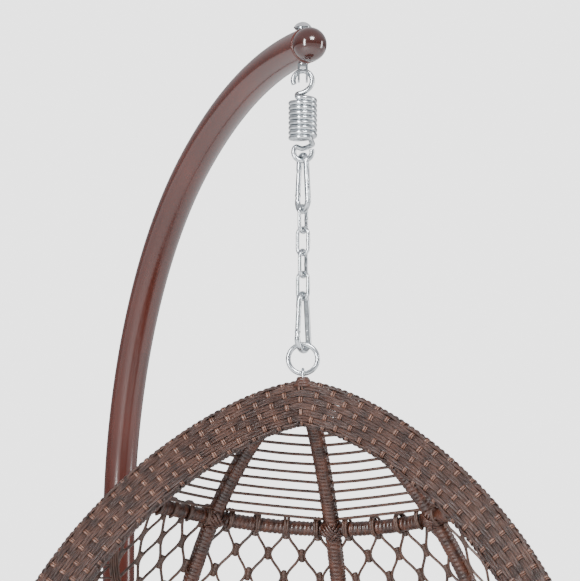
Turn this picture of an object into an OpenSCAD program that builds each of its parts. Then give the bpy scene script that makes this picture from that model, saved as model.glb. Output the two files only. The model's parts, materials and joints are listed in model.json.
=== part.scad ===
// Hanging egg chair: a swept steel stand, a spring and chain suspension,
// and an open wicker basket on a tube frame.
// Millimetres. +Z is up and the free end of the arm points towards -Y.
// The origin is on the floor, in the middle of the overall box.

/* [Stand] */
// Height of the top of the arm above the floor
stand_h = 1962; // [1800:1:2200]
// Outer diameter of the stand's tube
tube_d = 48; // [38:1:60]
// Wall of the stand's tube
tube_wall = 2; // [1.5:0.1:4]
// Outer radius of the ring that stands on the floor
base_r = 525; // [450:1:650]
// Bend radius of the end of the arm, over the basket
crest_r = 819; // [700:1:950]
// Bend radius of the arm's shoulder
shoulder_r = 582; // [480:1:680]
// Angle at which the crest bend meets the shoulder bend
crest_turn = 28.65; // [20:0.05:40]
// Distance from the hanging axis back to the highest point of the arm
crest_back = 15.6; // [0:0.1:40]
// Length of arm past the hanging axis
arm_overhang = 17; // [14:0.5:40]
// Height of the joint between the lower and upper pole
joint_z = 1000; // [700:1:1150]
// Length of the spigot inside the pole joint
spigot_len = 160; // [100:1:240]
// Height of the socket above the base ring
socket_len = 130; // [90:1:200]
// Height of the rubber feet
foot_h = 8; // [4:0.5:15]
// Diameter of the rubber feet
foot_d = 36; // [28:1:60]

/* [Swivel] */
// Diameter of the swivel bolt
bolt_d = 10; // [8:0.5:14]
// Diameter of the mushroom head
bolt_head_d = 25; // [20:0.5:32]
// Height of the mushroom head
bolt_head_h = 8; // [5:0.5:12]
// Width of the clevis across its ears
clevis_w = 14; // [12:0.5:24]
// Depth of the clevis from front to back
clevis_depth = 16; // [12:0.5:24]
// Thickness of the clevis strap
clevis_t = 3; // [2:0.1:3.5]
// Height of the clevis
clevis_h = 23; // [20:0.5:32]

/* [Spring] */
// Outer diameter of the coil
spring_d = 39.5; // [34:0.5:50]
// Diameter of the spring wire
spring_wire = 7; // [5:0.1:7.5]
// Number of turns
spring_turns = 9; // [6:1:14]
// Bend radius of the upper hook
hook_top_r = 13; // [12:0.1:16]
// Bend radius of the lower hook
hook_low_r = 12.4; // [12:0.1:15]

/* [Chain] */
// Wire of the chain links
link_wire = 5; // [4:0.1:5.5]
// Outer length of a link
link_len = 41.3; // [36:0.1:50]
// Outer width of a link
link_w = 22; // [20.5:0.1:28]
// Wire of the snap hooks
snap_wire = 8; // [6:0.1:8]
// Outer length of a snap hook
snap_len = 85; // [75:0.5:110]
// Outer width of a snap hook's wide end
snap_w = 40; // [36:0.5:50]
// Mean bend radius of a snap hook's narrow end
snap_nose_r = 10.5; // [10:0.1:11.5]
// Outer diameter of the ring above the basket
ring_d = 46; // [42:0.5:60]
// Wire of that ring
ring_wire = 6.5; // [5:0.1:7]
// Wire of the eye on the basket
eye_wire = 4; // [3:0.1:5]

/* [Basket] */
// Overall width
basket_w = 892; // [760:1:1000]
// Drop from the top of the basket to its widest level
basket_wide_drop = 600; // [520:1:680]
// Drop to the front lip
basket_lip_drop = 985; // [880:1:1040]
// Drop to the lowest point of the basket
basket_drop = 1150; // [1050:1:1220]
// Reach of the back behind the top
basket_back = 315; // [280:1:420]
// Reach of the rim in front of the top, at its widest level
rim_fwd = 70; // [20:1:120]
// Reach of the front lip in front of the top
lip_fwd = 262; // [150:1:320]
// Fullness of the rim's shoulders
rim_power = 1.365; // [1.2:0.005:1.6]
// Fullness of the back's shoulders
back_power = 1.55; // [1.2:0.005:1.8]
// Where the side ribs lie across the basket, as a share of its half width
rib_share = 0.63; // [0.5:0.01:0.75]
// Width of the woven band round the opening
band_w = 60; // [50:1:80]
// Thickness of the woven band
band_t = 24; // [20:0.5:36]
// Wall of the woven band
band_wall = 3; // [2:0.1:4]
// Outer diameter of a wrapped rib
rib_d = 23; // [19:0.5:30]
// Outer diameter of a wrapped ring
hoop_d = 21; // [17:0.5:28]
// Thickness of the wicker wrapped round ribs and rings
wrap_t = 2; // [1.5:0.1:3]
// Diameter of the round strands across the crown
strand_d = 3.6; // [2.5:0.1:5]
// Number of strands across the crown
strand_count = 10; // [6:1:12]
// Spacing of those strands
strand_pitch = 10.4; // [8:0.1:11]
// Drop from the top of the basket to its upper ring, at the rim
upper_ring_drop = 163; // [140:1:220]
// Extra drop of the upper ring at the back
upper_ring_fall = 23; // [0:1:40]
// Thickness of the net and seat sheets
sheet_t = 4; // [3:0.1:6]

/* [Pose] */
// Turn of the suspension about the hanging axis
hook_turn = -23; // [-180:1:180]
// Turn of the basket about the hanging axis
basket_turn = -37; // [-180:1:180]
// Sideways lean of the basket
basket_lean = 1.2; // [0:0.1:3]

/* [Clearances] */
// Gap between pieces that bear on each other
seat_gap = 0.3; // [0.2:0.05:0.6]
// Gap between pieces that hang in each other
link_gap = 0.8; // [0.5:0.05:0.95]
// Radial gap of a turning pin
pin_gap = 0.1; // [0.05:0.01:0.3]

/* [Hidden] */

round_fn = 96;
tube_r = tube_d / 2;
ring_z = foot_h + tube_r;
ring_r = base_r - tube_r;

// The arm's bends, as distances behind the hanging axis and heights
crest_z = stand_h - tube_r - crest_r;
shoulder_y = crest_back + (crest_r - shoulder_r) * sin(crest_turn);
shoulder_z = crest_z + (crest_r - shoulder_r) * cos(crest_turn);
bulge_y = shoulder_y + shoulder_r;
lean_dy = bulge_y - ring_r;
lean_dz = shoulder_z - ring_z;
lean_r = (lean_dz * lean_dz + lean_dy * lean_dy) / (2 * lean_dy);
lean_y = bulge_y - lean_r;
foot_turn = -asin(lean_dz / lean_r);
foot_lean = foot_turn;
joint_turn = -asin((shoulder_z - joint_z) / lean_r);
tip_turn = 90 + asin((crest_back + arm_overhang) / crest_r);
hang_y = -(bulge_y + tube_r - base_r) / 2;

function per_mm(r) = 180 / (PI * r);

// Heights down the suspension
arm_z = crest_z + sqrt(crest_r * crest_r - crest_back * crest_back);
bush_out = 0.6;
clevis_top = arm_z - tube_r - bush_out - seat_gap;
hook_pin_z = clevis_top - clevis_t - 6.1;
hook_top_c = hook_pin_z + 1 - hook_top_r;
spring_mean_r = (spring_d - spring_wire) / 2;
coil_top = hook_top_c - 21.5;
coil_pitch = spring_wire + 0.2;
coil_bottom = coil_top - spring_turns * coil_pitch;
hook_low_c = coil_bottom - spring_wire / 2 - 9.6;
hook_low_z = hook_low_c - hook_low_r;
snap_top = hook_low_z + spring_wire / 2 + link_gap + snap_wire;
link_first = snap_top - snap_len + snap_wire + link_gap + link_wire / 2;
link_pitch = link_len - 2 * link_wire - link_gap;
link_inner_end = link_first - 3 * link_pitch + link_wire / 2 - link_len + link_wire;
snap_low_top = link_inner_end + link_gap + snap_wire;
ring_top = snap_low_top - snap_len + snap_wire + link_gap + ring_wire / 2;
ring_mean_r = (ring_d - ring_wire) / 2;
ring_mid = ring_top - ring_mean_r;
ring_low = ring_mid - ring_mean_r;
eye_top = ring_low + ring_wire / 2 + link_gap + eye_wire / 2;
eye_leg = eye_wire / 2 + ring_wire / 2 + 1;
basket_top = ring_low - ring_wire / 2 - 7;
link_turns = [57, -33, 60, -35];
snap_turn = -64;
snap_low_turn = 62;

steel = [0.30, 0.11, 0.07];
zinc = [0.78, 0.80, 0.82];
wicker = [0.22, 0.14, 0.11];
rubber = [0.08, 0.08, 0.08];

// ---------- helpers ----------
function unit(v) = v / norm(v);

function along(path, i, loop) =
  let (n = len(path))
  loop ? unit(path[(i + 1) % n] - path[(i + n - 1) % n])
       : unit(path[min(i + 1, n - 1)] - path[max(i - 1, 0)]);

// Across the path, as near as can be to the direction given
function across(tangent, towards) = unit(towards - (towards * tangent) * tangent);

function oval(w, t, sides) =
  [for (k = [0 : sides - 1])
    let (a = 360 * (k + 0.5) / sides)
    [w / 2 * sign(cos(a)) * pow(abs(cos(a)), 0.75),
     t / 2 * sign(sin(a)) * pow(abs(sin(a)), 0.75)]];

function round_section(d, sides) =
  [for (k = [0 : sides - 1]) d / 2 * [cos(360 * k / sides), sin(360 * k / sides)]];

function section_points(path, towards, section, loop) =
  [for (i = [0 : len(path) - 1])
    let (t = along(path, i, loop), a = across(t, towards[i]), b = cross(t, a))
    for (s = section) path[i] + s[0] * a + s[1] * b];

function side_faces(rings, m, loop, first, inward) =
  [for (i = [0 : rings - (loop ? 1 : 2)], j = [0 : m - 1])
    let (p = first + i * m + j,
         q = first + i * m + (j + 1) % m,
         r = first + ((i + 1) % rings) * m + (j + 1) % m,
         s = first + ((i + 1) % rings) * m + j)
    each inward ? [[p, q, r], [p, r, s]] : [[p, r, q], [p, s, r]]];

// A solid bar of one section along a path
module sweep(path, towards, section, loop = false) {
  n = len(path);
  m = len(section);
  ends = loop ? [] : [[for (j = [0 : m - 1]) j],
                      [for (j = [m - 1 : -1 : 0]) (n - 1) * m + j]];
  polyhedron(section_points(path, towards, section, loop),
             concat(side_faces(n, m, loop, 0, false), ends), convexity = 8);
}

// A skin between two sections with as many points each, along an open path
module skin(path, towards, outer, inner) {
  n = len(path);
  m = len(outer);
  points = concat(section_points(path, towards, outer, false),
                  section_points(path, towards, inner, false));
  caps = [for (j = [0 : m - 1])
    let (k = (j + 1) % m, e = (n - 1) * m, q = n * m)
    each [[j, k, q + k], [j, q + k, q + j],
          [e + j, q + e + k, e + k], [e + j, q + e + j, q + e + k]]];
  polyhedron(points, concat(side_faces(n, m, false, 0, false),
                            side_faces(n, m, false, n * m, true), caps), convexity = 8);
}

module at_hang(z, turn = 0) {
  translate([0, hang_y, z]) rotate([0, 0, turn]) children();
}

module tube_section(r, hole) {
  difference() {
    circle(r, $fn = round_fn);
    circle(hole, $fn = round_fn);
  }
}

// A bent tube in the arm's plane, from one angle to another about (y, z)
module bend(y, z, r, from, to, outer, hole) {
  translate([0, hang_y + y, z]) rotate([90, 0, 90]) rotate([0, 0, from])
    rotate_extrude(angle = to - from, $fn = round_fn)
      translate([r, 0]) tube_section(outer, hole);
}

module lean_bend(from, to, outer, hole) {
  bend(lean_y, shoulder_z, lean_r, from, to, outer, hole);
}

// Children placed across the leaning pole at an angle of its bend, with +Z along X
module across_pole(turn) {
  translate([0, hang_y + lean_y + lean_r * cos(turn), shoulder_z + lean_r * sin(turn)])
    rotate([0, 90, 0]) children();
}

// ---------- stand ----------
ring_joint_gap = 0.3;
plug_len = 120;
bolt_m = 8;
spine_d = 38;
socket_r = tube_r + seat_gap + 3;
socket_from = foot_turn + 8 * per_mm(lean_r);
socket_to = foot_turn + (tube_r + socket_len) * per_mm(lean_r);
pole_from = foot_turn + (tube_r + 6) * per_mm(lean_r);
socket_bolt_turns = [socket_to - 25 * per_mm(lean_r), socket_to - 80 * per_mm(lean_r)];
joint_bolt_turns = [joint_turn - spigot_len / 4 * per_mm(lean_r),
                    joint_turn + spigot_len / 4 * per_mm(lean_r)];

module half_ring(from) {
  gap_turn = ring_joint_gap / 2 * per_mm(ring_r);
  at_hang(ring_z, from + gap_turn)
    rotate_extrude(angle = 180 - 2 * gap_turn, $fn = round_fn)
      translate([ring_r, 0]) tube_section(tube_r, tube_r - tube_wall);
}

module ring_joint_bolt_places() {
  for (side = [0, 180], off = [-1, 1])
    at_hang(ring_z, side + off * plug_len / 4 * per_mm(ring_r))
      translate([ring_r, 0, 0]) children();
}

module bolt_hole(d, len) {
  cylinder(d = d, h = len, center = true, $fn = 48);
}

module base_ring_front() {
  color(steel) difference() {
    half_ring(180);
    ring_joint_bolt_places() bolt_hole(bolt_m + 0.4, 2 * tube_d);
  }
}

module base_ring_rear() {
  color(steel) difference() {
    half_ring(0);
    ring_joint_bolt_places() bolt_hole(bolt_m + 0.4, 2 * tube_d);
  }
}

module base_joint_plugs() {
  turn = plug_len / 2 * per_mm(ring_r);
  color(zinc) difference() {
    for (side = [0, 180])
      at_hang(ring_z, side - turn)
        rotate_extrude(angle = 2 * turn, $fn = round_fn)
          translate([ring_r, 0])
            tube_section(tube_r - tube_wall - seat_gap, tube_r - tube_wall - 3);
    ring_joint_bolt_places() bolt_hole(bolt_m + 0.4, 2 * tube_d);
  }
}

module ring_cope() {
  at_hang(ring_z)
    rotate_extrude($fn = round_fn)
      translate([ring_r, 0]) circle(tube_r + seat_gap, $fn = round_fn);
}

module spine_bar(d, len) {
  at_hang(ring_z) rotate([90, 0, 0]) cylinder(d = d, h = len, center = true, $fn = round_fn);
}

// The straight tube across the ring, coped to it at both ends
module base_spine() {
  color(steel) difference() {
    spine_bar(spine_d, 2 * ring_r);
    spine_bar(spine_d - 2 * tube_wall, 2 * ring_r + 2);
    ring_cope();
  }
}

module pole_socket() {
  color(steel) difference() {
    lean_bend(socket_from, socket_to, socket_r, tube_r + seat_gap);
    ring_cope();
    spine_bar(spine_d + 2 * seat_gap, 2 * ring_r);
    for (turn = socket_bolt_turns) across_pole(turn) bolt_hole(bolt_m + 0.4, 3 * tube_d);
  }
}

// A plate that braces the socket from the spine
gusset_t = 5;
gusset_run = 90;

module socket_gusset() {
  bottom = ring_z + spine_d / 2 + seat_gap;
  top = ring_z + tube_r + 0.7 * socket_len;
  front = ring_r - socket_r - gusset_run;
  color(steel) difference() {
    at_hang(0) rotate([90, 0, 90]) translate([0, 0, -gusset_t / 2]) linear_extrude(gusset_t)
      polygon([[front, bottom], [ring_r, bottom], [ring_r + 20, top], [ring_r - 20, top]]);
    lean_bend(foot_turn - 1, socket_to + 1, socket_r + seat_gap, 0);
    translate([0, hang_y + ring_r + tube_r + gusset_t, ring_z])
      rotate([foot_lean, 0, 0]) cube([2 * gusset_t, 2 * socket_r, 4 * socket_len], center = true);
    ring_cope();
  }
}

module lower_pole() {
  color(steel) difference() {
    lean_bend(pole_from, joint_turn - seat_gap / 2 * per_mm(lean_r), tube_r, tube_r - tube_wall);
    for (turn = concat(socket_bolt_turns, joint_bolt_turns))
      across_pole(turn) bolt_hole(bolt_m + 0.4, 3 * tube_d);
  }
}

module pole_spigot() {
  half = spigot_len / 2 * per_mm(lean_r);
  color(zinc) difference() {
    lean_bend(joint_turn - half, joint_turn + half,
              tube_r - tube_wall - seat_gap, tube_r - tube_wall - 3);
    for (turn = joint_bolt_turns) across_pole(turn) bolt_hole(bolt_m + 0.4, 3 * tube_d);
  }
}

bush_r = bolt_d / 2 + 2.2;

module upper_pole() {
  color(steel) difference() {
    union() {
      lean_bend(joint_turn + seat_gap / 2 * per_mm(lean_r), 0, tube_r, tube_r - tube_wall);
      bend(shoulder_y, shoulder_z, shoulder_r, 0, 90 - crest_turn, tube_r, tube_r - tube_wall);
      bend(crest_back, crest_z, crest_r, 90 - crest_turn, tip_turn, tube_r, tube_r - tube_wall);
    }
    for (turn = joint_bolt_turns) across_pole(turn) bolt_hole(bolt_m + 0.4, 3 * tube_d);
    at_hang(arm_z) cylinder(r = bush_r + seat_gap, h = 2 * tube_d, center = true, $fn = 64);
  }
}

// The ball that closes the arm, with its plug inside the tube
module end_cap() {
  ball_r = tube_r - 0.5;
  out = 6;
  color(steel)
    translate([0, hang_y + crest_back, crest_z]) rotate([90, 0, 90]) rotate([0, 0, tip_turn])
      translate([crest_r, 0, 0]) rotate([-90, 0, 0]) {
        difference() {
          translate([0, 0, out + seat_gap]) sphere(ball_r, $fn = round_fn);
          translate([0, 0, seat_gap - ball_r]) cube(2 * ball_r, center = true);
        }
        translate([0, 0, -7]) cylinder(r = tube_r - tube_wall - seat_gap, h = 7 + seat_gap,
                                       $fn = round_fn);
      }
}

module pole_bush() {
  color(zinc) at_hang(arm_z) difference() {
    cylinder(r = bush_r, h = tube_d + 2 * bush_out, center = true, $fn = 64);
    bolt_hole(bolt_d + 2 * pin_gap, tube_d + 6);
  }
}

bolt_head = 5.5;

// A bolt through a tube, with a head or nut on each face named in ends
module hex_bolt(across, ends) {
  len = across + 2 * seat_gap;
  cylinder(d = bolt_m, h = len, center = true, $fn = 48);
  for (end = ends)
    translate([0, 0, end * (len + bolt_head) / 2])
      cylinder(d = bolt_m * 1.8, h = bolt_head, center = true, $fn = 6);
}

module frame_bolts() {
  color(zinc) {
    ring_joint_bolt_places() hex_bolt(tube_d, [1]);
    for (turn = socket_bolt_turns) across_pole(turn) hex_bolt(2 * socket_r, [-1, 1]);
    for (turn = joint_bolt_turns) across_pole(turn) hex_bolt(tube_d, [-1, 1]);
  }
}

module feet() {
  color(rubber) difference() {
    for (turn = [30 : 60 : 330])
      at_hang(0, turn) translate([ring_r, 0, 0])
        cylinder(d = foot_d, h = foot_h + 5, $fn = 64);
    ring_cope();
  }
}

// ---------- swivel ----------
washer_t = 1.6;

module swivel_washer() {
  color(zinc) at_hang(arm_z + tube_r + bush_out + seat_gap) difference() {
    cylinder(d = bolt_head_d - 3, h = washer_t, $fn = 64);
    bolt_hole(bolt_d + 2 * pin_gap, 10);
  }
}

// The mushroom-headed bolt that the whole suspension turns on
module swivel_bolt() {
  head_z = arm_z + tube_r + bush_out + washer_t + 2 * seat_gap;
  dome_r = (pow(bolt_head_d / 2, 2) + pow(bolt_head_h, 2)) / (2 * bolt_head_h);
  color(zinc) at_hang(0) {
    translate([0, 0, head_z]) intersection() {
      translate([0, 0, bolt_head_h - dome_r]) sphere(dome_r, $fn = 96);
      cylinder(d = bolt_head_d, h = bolt_head_h + 1, $fn = 96);
    }
    translate([0, 0, clevis_top - clevis_t - 0.2])
      cylinder(d = bolt_d, h = head_z - clevis_top + clevis_t + 0.3, $fn = 64);
  }
}

hook_hole_r = spring_wire / 2 + 2.6;

// An upside-down strap, with a hole in each ear for the spring's hook
module hanger_clevis() {
  color(zinc) at_hang(clevis_top, hook_turn) difference() {
    translate([-clevis_w / 2, -clevis_depth / 2, -clevis_h])
      cube([clevis_w, clevis_depth, clevis_h]);
    translate([-clevis_w / 2 + clevis_t, -clevis_depth, -clevis_h - 1])
      cube([clevis_w - 2 * clevis_t, 2 * clevis_depth, clevis_h + 1 - clevis_t]);
    translate([0, 0, -clevis_t / 2]) bolt_hole(bolt_d + 0.1, 2 * clevis_t);
    translate([0, 0, hook_pin_z - clevis_top]) rotate([0, 90, 0])
      bolt_hole(2 * hook_hole_r, 2 * clevis_w);
  }
}

// ---------- spring ----------
coil_steps = 16;

// Heights are from the floor, and X runs across the hook. The coil starts at -X
// and ends at +X
coil_count = (spring_turns - 0.5) * coil_steps;

function coil_path() =
  [for (i = [0 : coil_count])
    let (a = 180 + 360 * i / coil_steps)
    [spring_mean_r * cos(a), spring_mean_r * sin(a),
     coil_top - spring_wire / 2 - (spring_turns * coil_pitch - spring_wire) * i / coil_count]];

function top_hook_path() =
  concat([for (a = [200 : -20 : -20])
           [hook_top_r * cos(a), 0, hook_top_c + hook_top_r * sin(a)]],
         [[9.5, 0, hook_top_c - 10], [1.5, -1.5, coil_top + 4.8],
          [-8, -4, coil_top + 1.2], [-14.5, -3.5, coil_top - spring_wire / 2 + 1.6]]);

function low_hook_path() =
  concat([[15.9, -2.5, coil_bottom - 4.1], [13.5, 3.5, coil_bottom - 4.6],
          [6, 4.5, coil_bottom - 6.2], [-2, 2, coil_bottom - 7.6],
          [-9, 0.5, hook_low_c + 8]],
         [for (a = [160 : 20 : 380])
           [hook_low_r * cos(a), 0, hook_low_c + hook_low_r * sin(a)]]);

module spring_coils() {
  wire = concat(top_hook_path(), coil_path());
  color(zinc) at_hang(0, hook_turn)
    sweep(wire, [for (i = [0 : len(wire) - 1])
                  i < len(top_hook_path()) - 1 ? [0, 1, 0.01] : [0.01, 0.02, 1]],
          round_section(spring_wire, 8));
}

module spring_lower_hook() {
  wire = low_hook_path();
  color(zinc) at_hang(0, hook_turn)
    sweep(wire, [for (p = wire) [0, 1, 0.01]], round_section(spring_wire, 8));
}

// ---------- snap hooks, links and ring ----------
snap_tail_r = (snap_w - snap_wire) / 2;
snap_span = snap_len - snap_wire - snap_nose_r - snap_tail_r;
snap_slope = asin((snap_tail_r - snap_nose_r) / snap_span);
gate_top = -snap_nose_r - 12.5;
gate_foot = -snap_nose_r - snap_span + 7.5;
gate_pin_d = 2.5;
gate_tab = 3;
gate_d = 7;

// Heights are from the middle of the wire at the narrow end.
// The gated side is towards -X
function snap_side_x(z) = -snap_nose_r - (-snap_nose_r - z) * tan(snap_slope);

function snap_path() =
  concat([[snap_side_x(gate_top), 0, gate_top], [snap_side_x(-9) * 0.99, 0, -9]],
         [for (a = [170 : -20 : -10])
           [snap_nose_r * cos(a), 0, snap_nose_r * (sin(a) - 1)]],
         [for (a = [-8 : -18.8 : -196])
           [snap_tail_r * cos(a), 0, -snap_nose_r - snap_span + snap_tail_r * sin(a)]]);

module gate_frame() {
  translate([snap_side_x(gate_foot), 0, gate_foot])
    rotate([0, atan2(snap_side_x(gate_top) - snap_side_x(gate_foot), gate_top - gate_foot), 0])
      children();
}

gate_len = norm([snap_side_x(gate_top) - snap_side_x(gate_foot), gate_top - gate_foot]);

module snap_body() {
  wire = snap_path();
  color(zinc) {
    difference() {
      union() {
        sweep(wire, [for (p = wire) [0, 1, 0]], round_section(snap_wire, 10));
        gate_frame() translate([-2.6, -gate_tab / 2, -7]) cube([5.2, gate_tab, 9.6]);
      }
      gate_frame() rotate([90, 0, 0]) bolt_hole(gate_pin_d + 0.1, 20);
    }
  }
}

module snap_gate() {
  color(zinc) gate_frame() difference() {
    translate([0, 0, -2.2]) cylinder(d = gate_d, h = gate_len + 2.2 - 0.4, $fn = 48);
    translate([-gate_d, -gate_tab / 2 - seat_gap, -3])
      cube([2 * gate_d, gate_tab + 2 * seat_gap, 3 + 2.6 + seat_gap + 1]);
    rotate([90, 0, 0]) bolt_hole(gate_pin_d + 2 * pin_gap, 20);
  }
}

module snap_pin() {
  color(zinc) gate_frame() rotate([90, 0, 0])
    cylinder(d = gate_pin_d, h = gate_d + 1, center = true, $fn = 32);
}

module upper_snap_place() {
  at_hang(snap_top - snap_wire / 2, hook_turn + snap_turn) children();
}

module lower_snap_place() {
  at_hang(snap_low_top - snap_wire / 2, hook_turn + snap_low_turn) children();
}

module upper_snap_hook() { upper_snap_place() snap_body(); }
module upper_gate() { upper_snap_place() snap_gate(); }
module upper_gate_pin() { upper_snap_place() snap_pin(); }
module lower_snap_hook() { lower_snap_place() snap_body(); }
module lower_gate() { lower_snap_place() snap_gate(); }
module lower_gate_pin() { lower_snap_place() snap_pin(); }

// One welded link, from the middle of its upper wire
module chain_link(i) {
  r = (link_w - link_wire) / 2;
  straight = link_len - link_wire - 2 * r;
  wire = concat([for (a = [0 : 22.5 : 180]) [r * cos(a), 0, r * (sin(a) - 1)]],
                [for (a = [180 : 22.5 : 360]) [r * cos(a), 0, r * (sin(a) - 1) - straight]]);
  color(zinc) at_hang(link_first - i * link_pitch, hook_turn + link_turns[i])
    sweep(wire, [for (p = wire) [0, 1, 0]], round_section(link_wire, 8), loop = true);
}

module chain_link_1() { chain_link(0); }
module chain_link_2() { chain_link(1); }
module chain_link_3() { chain_link(2); }
module chain_link_4() { chain_link(3); }

module hanging_ring() {
  color(zinc) at_hang(ring_mid, hook_turn) rotate([90, 0, 0])
    rotate_extrude($fn = round_fn)
      translate([ring_mean_r, 0]) circle(d = ring_wire, $fn = 48);
}

// ---------- basket ----------
// In the basket's own frame the top of the band is the origin, +X is to the
// sitter's left, +Y to the back and +Z up.
rim_top = band_w / 2;
side_reach = basket_w / 2 - band_w / 2;
heart = [0, 80, -basket_wide_drop];
low_power = 0.95;
middle_top = 12;

module in_basket() {
  at_hang(basket_top, basket_turn) rotate([0, basket_lean, 0]) children();
}

// The curve of the rim at an angle down from the top: 90 is the widest level, 180 the lip
function rim_half(p) = side_reach * pow(max(sin(p), 0), p <= 90 ? rim_power : low_power);
function rim_drop(p) = p <= 90 ? rim_top + (basket_wide_drop - rim_top) * (1 - cos(p))
                               : basket_wide_drop - (basket_lip_drop - basket_wide_drop) * cos(p);
function rim_front(p) = p <= 90 ? rim_fwd * pow(sin(p), 2.2)
                                : rim_fwd + (lip_fwd - rim_fwd) * (1 - sin(p));
function rim_point(a) =
  let (p = a <= 180 ? a : 360 - a, side = a <= 180 ? 1 : -1)
  [side * rim_half(p), -rim_front(p), -rim_drop(p)];

// The middle line of the back and seat
turn_down = 60;
function middle_back(p) =
  p <= 90 ? basket_back * pow(sin(p), back_power) :
  p <= 90 + turn_down ? basket_back * cos(90 * (p - 90) / turn_down) :
  -lip_fwd * sin(90 * (p - 90 - turn_down) / (90 - turn_down));
function middle_drop(p) =
  p <= 90 ? middle_top + (basket_wide_drop - middle_top) * (1 - cos(p)) :
  p <= 90 + turn_down ?
    basket_wide_drop + (basket_drop - basket_wide_drop) * sin(90 * (p - 90) / turn_down) :
  basket_drop - (basket_drop - basket_lip_drop)
    * (1 - cos(90 * (p - 90 - turn_down) / (90 - turn_down)));

// A point of the shell at angle p down and angle q round: 0 is the +X rim, 90 the back
function shell_point(p, q) =
  let (m = sin(q))
  [rim_half(p) * cos(q),
   -rim_front(p) * (1 - m) + middle_back(p) * m,
   -rim_drop(p) * (1 - m) - middle_drop(p) * m];

// The angle down at which the shell reaches a drop, above its widest level
function angle_at(drop, q) =
  let (m = sin(q), top = rim_top * (1 - m) + middle_top * m)
  acos(1 - (drop - top) / (basket_wide_drop - top));

// Millimetres per degree round, and the direction inwards
function round_rate(p, q) = norm(shell_point(p, q + 1) - shell_point(p, q - 1)) / 2;
function inward(p, q) =
  unit(cross(shell_point(p, q + 1) - shell_point(p, q - 1),
             shell_point(p + 1, q) - shell_point(p - 1, q)));

// How much shorter a bar of diameter thick, along dir, is at an upright of
// diameter d along run
function stand_off(d, run, thick, dir) =
  let (c = abs(unit(run) * unit(dir)))
  (d / 2 + seat_gap + thick / 2 * c) / sqrt(1 - c * c);

function down_dir(p, q) = (shell_point(p + 1, q) - shell_point(p - 1, q)) / 2;
function ring_dir(drop_p, q) =
  (shell_point(drop_p(q + 1), q + 1) - shell_point(drop_p(q - 1), q - 1)) / 2;

rim_step = 6;
rim_path = [for (a = [0 : rim_step : 354]) rim_point(a)];
rim_out = [for (p = rim_path) p - [0, p[1], -basket_wide_drop * 0.85]];

// Paths beside the rim: u is away from the middle of the opening, v is forward
function beside_rim(u, v) =
  [for (i = [0 : len(rim_path) - 1])
    let (t = along(rim_path, i, true), a = across(t, rim_out[i]), b = cross(t, a))
    rim_path[i] + u * a + v * b];

band_hoop_d = 12;
band_hoop_u = band_w / 2 - band_wall - band_hoop_d / 2 - 1.5;
back_hoop_d = 20;
back_hoop_u = -band_w / 2 + back_hoop_d / 2 + 1;
back_hoop_v = -(band_t + back_hoop_d) / 2 + 1.9;

module rim_hoop(u, v, d, sides) {
  in_basket() sweep(beside_rim(u, v), rim_out, round_section(d, sides), loop = true);
}

module rim_outer_hoop() { color(steel) rim_hoop(band_hoop_u, 0, band_hoop_d, 6); }
module rim_inner_hoop() { color(steel) rim_hoop(-band_hoop_u, 0, band_hoop_d, 6); }

// Short bars that tie the two hoops inside the band
module rim_rungs() {
  outer = beside_rim(band_hoop_u, 0);
  inner = beside_rim(-band_hoop_u, 0);
  color(steel) in_basket()
    for (i = [3 : 6 : len(rim_path) - 1]) {
      dir = unit(outer[i] - inner[i]);
      bar(inner[i] + dir * (band_hoop_d / 2 + seat_gap),
          outer[i] - dir * (band_hoop_d / 2 + seat_gap), 8);
    }
}

// A round bar from one point to another
module bar(from, to, d) {
  v = to - from;
  translate(from)
    rotate([0, acos(v[2] / norm(v)), atan2(v[1], v[0])])
      cylinder(d = d, h = norm(v), $fn = 24);
}

module rim_back_hoop() {
  color(steel) rim_hoop(back_hoop_u, back_hoop_v, back_hoop_d - 2 * wrap_t - 0.4, 6);
}

// The band and its wrap are open at the top, where the hub of the eye stands
hub_d = 15.7;
hub_angle = asin(pow((hub_d / 2 + 2 * seat_gap) / side_reach, 1 / rim_power));
open_path = concat([rim_point(hub_angle)], [for (i = [1 : len(rim_path) - 1]) rim_path[i]],
                   [rim_point(360 - hub_angle)]);
open_out = [for (p = open_path) p - [0, p[1], -basket_wide_drop * 0.85]];

function beside_open(u, v) =
  [for (i = [0 : len(open_path) - 1])
    let (t = along(open_path, i, false), a = across(t, open_out[i]), b = cross(t, a))
    open_path[i] + u * a + v * b];

module rim_back_wrap() {
  color(wicker) in_basket()
    skin(beside_open(back_hoop_u, back_hoop_v), open_out, round_section(back_hoop_d, 6),
         round_section(back_hoop_d - 2 * wrap_t, 6));
}

module rim_weave() {
  color(wicker) in_basket()
    skin(open_path, open_out, oval(band_w, band_t, 10),
         oval(band_w - 2 * band_wall, band_t - 2 * band_wall, 10));
}

rib_turns = [180 - acos(rib_share), 90, acos(rib_share)];
rib_from = 20;
rib_to = [164, 172, 164];
rib_step = 4;
// Along the shell from the middle of the band to what stands off its back hoop
rim_seat = 33.4;
strand_rim_seat = 35.3;

function rib_path(k) =
  [for (p = [rib_from : rib_step : rib_to[k]]) shell_point(p, rib_turns[k])];

function out_of(path) = [for (p = path) p - heart];

// Six-sided steel tube, wrapped in a layer of wicker
core_wall = 1.5;
core_slack = 1.4;

module core_tube(path, d) {
  color(steel)
    skin(path, out_of(path), round_section(d, 6), round_section(d - 2 * core_wall, 6));
}

module rib_core(k) {
  in_basket() core_tube(rib_path(k), rib_d - 2 * wrap_t - core_slack);
}

module rib_wrap(k) {
  color(wicker) in_basket()
    skin(rib_path(k), out_of(rib_path(k)), round_section(rib_d, 8),
         round_section(rib_d - 2 * wrap_t, 8));
}

module rib_left() { rib_core(0); }
module rib_middle() { rib_core(1); }
module rib_right() { rib_core(2); }
module rib_left_wrap() { rib_wrap(0); }
module rib_middle_wrap() { rib_wrap(1); }
module rib_right_wrap() { rib_wrap(2); }

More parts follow.
